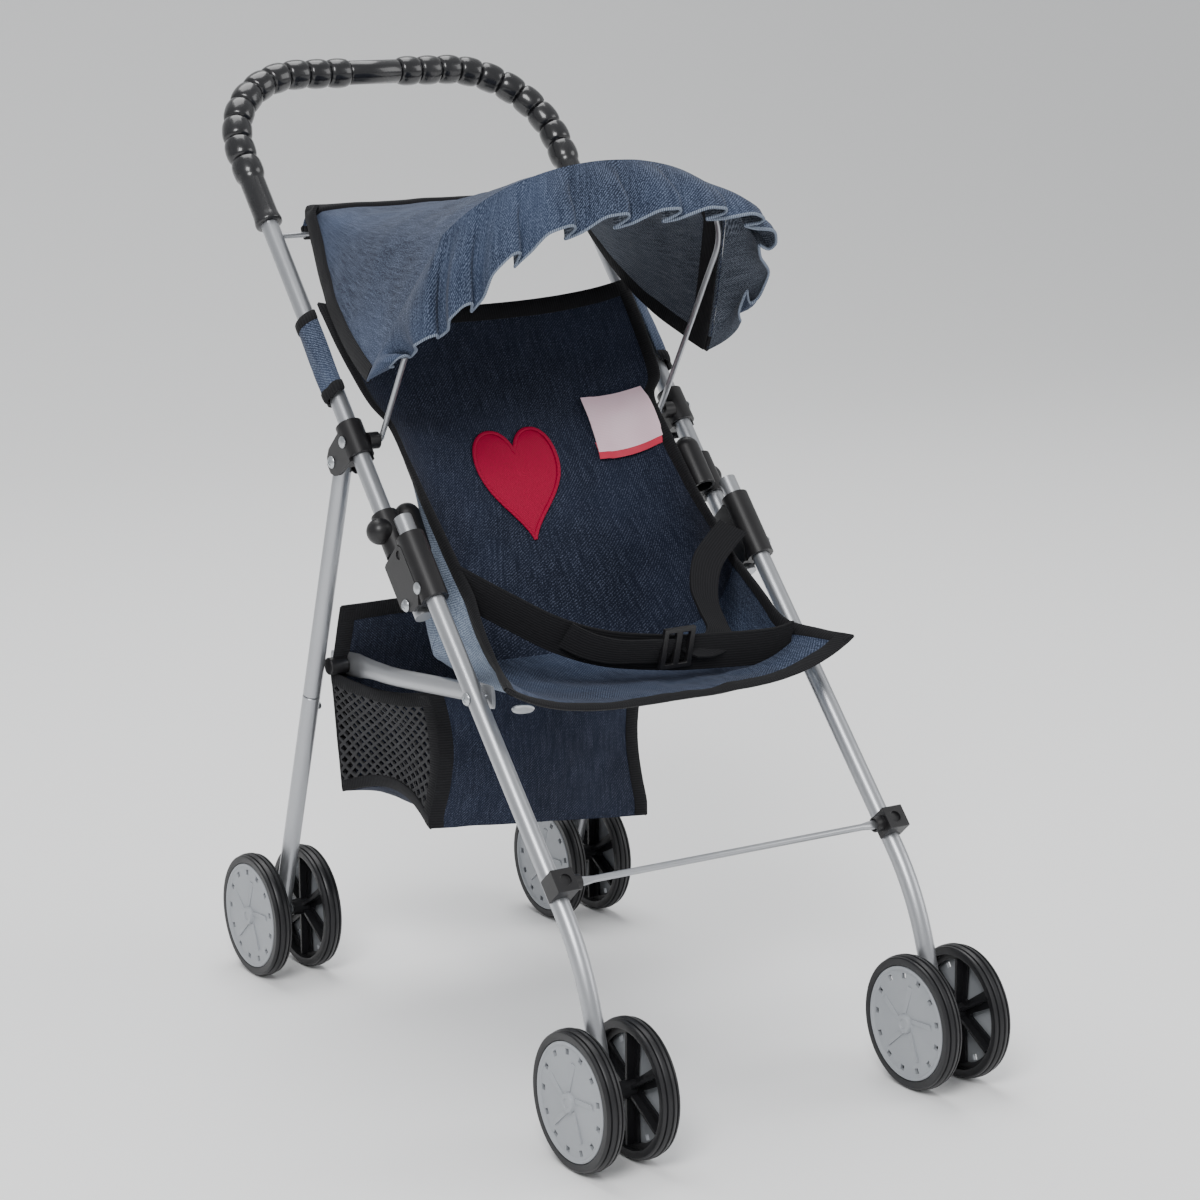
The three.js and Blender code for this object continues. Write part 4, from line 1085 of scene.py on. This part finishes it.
WAIST = [
    (-94, -19, 290), (-86, -30, 284), (-70, -46, 273), (-50, -60, 261), (-24, -73, 252), (14, -84, 247),
    (44, -87, 245), (66, -89, 244), (84, -90, 244), (97, -89, 246),
]
webbing("waist_strap", [Vector(p) for p in WAIST], Vector((0, -0.25, 1)), 23, nodes=["harness"])
SIDE = [
    (93, -34, 306), (82, -36, 298), (68, -42, 287), (58, -54, 272), (56, -66, 260), (52, -80, 251),
    (34, -87, 247), (20, -88, 248),
]
webbing("side_strap", [Vector(p) for p in SIDE], Vector((0.8, -0.35, -0.45)), 19)
TAIL = [(12, -88, 249), (-6, -88, 251), (-24, -82, 252), (-38, -74, 256), (-48, -66, 262)]
webbing("strap_tail", [Vector(p) for p in TAIL], Vector((0.3, -0.45, 0.85)), 17)
buckle_centre = Vector((14, -90.2, 251.2))
buckle_up = Vector((0, -0.243, 0.97))
buckle_out = X.cross(buckle_up)


def buckle_block(half_x, half_up, half_out, dx=0):
    """A block in the buckle's own directions, dx across from its middle."""
    points = [
        buckle_centre + X * (dx + i * half_x) + buckle_up * j * half_up + buckle_out * k * half_out
        for k in (-1, 1) for i, j in ((-1, -1), (1, -1), (1, 1), (-1, 1))
    ]
    return points, BOX_FACES


slots = [buckle_block(2.7, 10, 4, dx) for dx in (-4.8, 4.8)]
moulded("slider_buckle", "front_frame", [buckle_block(11, 13, 1.5)], slots, nylon, ["buckle"],
        edge=0.6)

# Basket. Dark denim front, back and floor with open black netting at the sides, edges taped. Its back
# panel is tied to the rear legs and its front hangs from the seat's crease; it sags a little to one side.
netting, shader, place, flat = new_finish("netting", Roughness=0.7)
strands = [
    flat.node("TexWave", {"wave_type": "BANDS", "bands_direction": "X"}, {
        "Vector": flat.node("Mapping", {}, {"Vector": flat, "Rotation": (0, 0, turn)}), "Scale": 62.0,
    }) > 0.72
    for turn in (0.9, -0.9)
]
feed(
    shader,
    Alpha=strands[0].math("MAXIMUM", strands[0], strands[1]),
    Base_Color=place.grain(80).mix((0.005, 0.005, 0.006), (0.03, 0.03, 0.034)),
)


def patch(name, surface, rows, cols, finish, taped=(), width=10, lining=None, nodes=(), seed=1):
    """Cloth from a function of two shares, top to bottom and left to right, with taped edges."""
    smooth = [[surface(i / rows, j / cols) for j in range(cols + 1)] for i in range(rows + 1)]
    grid = creased(smooth, 1.6, 26, seed)
    made = cloth_piece(name, "front_frame", grid, 1.3, finish, nodes, lining=lining)
    edges = [
        tape(f"{name}_tape_{which}", "front_frame", edge_of(grid, which), width, thick=3.0) for which in taped
    ]
    for soft in (made, *edges):
        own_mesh(soft)


BASKET_HALF, BASKET_FRONT_Y, BASKET_DEPTH = 79, 43, 105


def basket_bottom(x):
    return 116 - 8 * x / 78.5


def bulge(t, c):
    """0 at the four corners and edges of a panel, 1 at its middle."""
    return math.sin(math.pi * c) * math.sin(math.pi * t)


def basket_front(t, c):
    x = BASKET_HALF * (2 * c - 1) * (1 - 0.09 * math.sin(math.pi * min(1, 1.1 * t)))
    return Vector((x, BASKET_FRONT_Y - 5 * bulge(t, c), 211 + (basket_bottom(x) - 211) * t))


def basket_back(t, c):
    half = 103 - 20 * max(0, (t - 0.35) / 0.65)
    x = half * (1 - 2 * c)
    return Vector((x, 107.5 + 41 * t + 4 * bulge(t, c), 254 + (basket_bottom(x) - 254) * t))


def basket_side(s, t, c):
    """Netting from the back edge to the front edge; its bottom is drawn up in the middle."""
    rear = basket_back(0.35 + 0.65 * t, 0 if s > 0 else 1)
    front = basket_front(0.03 + 0.97 * t, 1 if s > 0 else 0)
    lift = math.sin(math.pi * c) * (12 * t * t - 5 * (1 - t))
    return rear.lerp(front, c) + Vector((-s * 7 * math.sin(math.pi * c) * t, 0, lift))


def basket_floor(t, c):
    x = BASKET_HALF * (2 * c - 1)
    drawn = abs(2 * c - 1) ** 6 * math.sin(math.pi * t)
    return Vector((x * (1 - 0.09 * drawn), BASKET_FRONT_Y + BASKET_DEPTH * t, basket_bottom(x) + 11 * drawn))


patch("basket_front", basket_front, 26, 40, dark_denim, ("low", "high"), 10, denim_back, ["basket"], 11)
patch("basket_back", basket_back, 30, 40, denim_back, ("first", "low", "high"), 11, dark_denim, (), 12)
patch("basket_floor", basket_floor, 24, 36, dark_denim, (), seed=13)
for side_name, tag, s in SIDES:
    patch(f"basket_net_{tag}", lambda t, c: basket_side(s, t, c), 18, 22, netting,
          ("first", "last", "high"), 9, seed=14)

# Hood. Denim, its colour painted darker than the same cloth on the seat base as painted shade, stretched
# from the back wire over the bow, its lower corners drawn down beside the seat; a pleated ruffle with a pale
# overlocked edge is sewn along the bow. Black tape on the rest.
# Painted shade: the seat base's denim colours made about a fifth darker, because the key light falls full on
# the hood, its flap and its ruffle.
shaded_hood_denim = denim(
    "shaded_hood_denim", (0.009, 0.014, 0.030), (0.115, 0.145, 0.215), (0.024, 0.036, 0.070), 0.45,
)
hood_lining = denim("hood_lining", (0.022, 0.027, 0.038), (0.150, 0.170, 0.210), (0.045, 0.054, 0.072), 0.43)
HOOD_COLS = 120
HOOD_BACK = Vector((0, 157, 494))
HOOD_BACK_HALF = 95


def arch_point(angle, half, rise):
    """Round the bow from one side to the other; each end spreads and drops below the wire's shoulder."""
    c = math.cos(angle)
    low_part = max(0, abs(c) - 0.92) / 0.08
    across = -half * c - math.copysign(14.4, c) * low_part
    return on_bow(across, BOW_SHOULDER + rise * math.sin(angle) - 74 * low_part)


def hood_point(v, angle):
    """v is 0 at the back wire and 1 at the bow; the cloth sags a little between them."""
    arch = arch_point(angle, 106.2, 74.5)
    c = math.cos(angle)
    point = (HOOD_BACK - X * HOOD_BACK_HALF * c).lerp(arch, v)
    edge = abs(c) ** 6
    sag = math.sin(math.pi * v)
    return point + Vector((0, 8 * sag * edge, -11 * sag * edge - 6 * sag * (1 - edge)))


def hood_rows(shares):
    return [[hood_point(v, math.pi * j / HOOD_COLS) for j in range(HOOD_COLS + 1)] for v in shares]


hood_grid = creased(hood_rows([i / 34 for i in range(35)]), 2.4, 40, 9)
HOOD_BEND = ("handle_frame", "canopy_bow", HOOD_BACK, on_bow(0, 190))
hood = cloth_piece(
    "hood_cloth", HOOD_BEND, hood_grid, 1.3, shaded_hood_denim, ["canopy_hood"], lining=hood_lining,
)
tape("hood_tape_back", "handle_frame", edge_of(hood_grid, "first"), 11, thick=7, proud=3)
for label, which in (("left", "low"), ("right", "high")):
    tape(f"hood_tape_{label}", HOOD_BEND, edge_of(hood_grid, which), 12)
flap_top, flap_foot = HOOD_BACK - Vector((0, 0, 3)), on_handle(*BACK_WIRE_AT, 0) + Vector((0, 0.4, -2))
flap_grid = []
for i in range(9):
    t = i / 8
    drop = flap_top.lerp(flap_foot, t) + Vector((0, 3.5 * math.sin(math.pi * t), 0))
    flap_grid.append([drop + X * HOOD_BACK_HALF * (-1 + 2 * j / 60) for j in range(61)])
flap = cloth_piece(
    "hood_back_flap", "handle_frame", flap_grid, 1.3, shaded_hood_denim, lining=hood_lining,
)
tape("hood_flap_tape", "handle_frame", edge_of(flap_grid, "last"), 9, thick=5.4)
casing = hood_rows([0.90 + 0.03 * i for i in range(4)])
inner = [[p - normal_at(casing, i, j) * 1.9 for j, p in enumerate(row)] for i, row in enumerate(casing)]
cloth_piece("hood_bow_casing", HOOD_BEND, inner, 1.2, black_tape)

FREE_EDGE = [Vector(p) for p in (
    (-112, 14, 416), (-110, -6, 428), (-99, -22, 440), (-85, -36, 458), (-61, -46, 483), (-31, -51, 494),
    (0, -53, 498), (28, -59, 500), (54, -63, 500), (84, -59, 495), (105, -48, 484), (119, -25, 460),
    (121, 2, 426),
)]
PLEATS = 11
PLEAT = [
    (0.0, 0.6), (0.17, 0.95), (0.36, 1.0), (0.55, 0.95), (0.62, 0.6), (0.52, 0.25), (0.42, 0.0),
    (0.55, 0.0), (0.78, 0.15), (1.0, 0.6),
]


def ruffle_point(w, share):
    """w is 0 at the seam and 1 at the free edge; each box pleat doubles back under itself there."""
    number, part = divmod(share * PLEATS, 1.0)
    place_in, height = (spline(values, part * (len(PLEAT) - 1)) for values in zip(*PLEAT))
    opened = min(1, 1.25 * w) ** 1.3
    angle = math.pi * min(1, max(0, (number + part + (place_in - part) * opened) / PLEATS))
    seam = arch_point(angle, 106.8, 75.2)
    free = spline(FREE_EDGE, math.degrees(angle) / 15)
    point = seam.lerp(free, w)
    out = point - on_bow(0, 95)
    out = (out - BOW_BACK * out.dot(BOW_BACK) * 0.5).normalized()
    return point + out * (11.0 * opened * (height - 0.35) + 4.0 * math.sin(math.pi * w))


RUFFLE_COLS = PLEATS * 27
ruffle_grid = [[ruffle_point(i / 12, j / RUFFLE_COLS) for j in range(RUFFLE_COLS + 1)] for i in range(13)]
ruffle = cloth_piece(
    "hood_ruffle", "canopy_bow", ruffle_grid, 1.0, shaded_hood_denim, lining=hood_lining,
)
overlock, shader, place, flat = new_finish("overlock_thread", Roughness=0.85)
loops = flat.node("TexWave", {"wave_type": "BANDS", "bands_direction": "Y"},
                  {"Vector": flat, "Scale": 260.0, "Distortion": 1.0})
feed(shader, Base_Color=loops.mix((0.05, 0.07, 0.11), (0.24, 0.28, 0.35)), Normal=loops.bump(0.5, 0.0005))
tape("ruffle_overlock", "canopy_bow", edge_of(ruffle_grid, "last"), 1.8, overlock, 1.7)
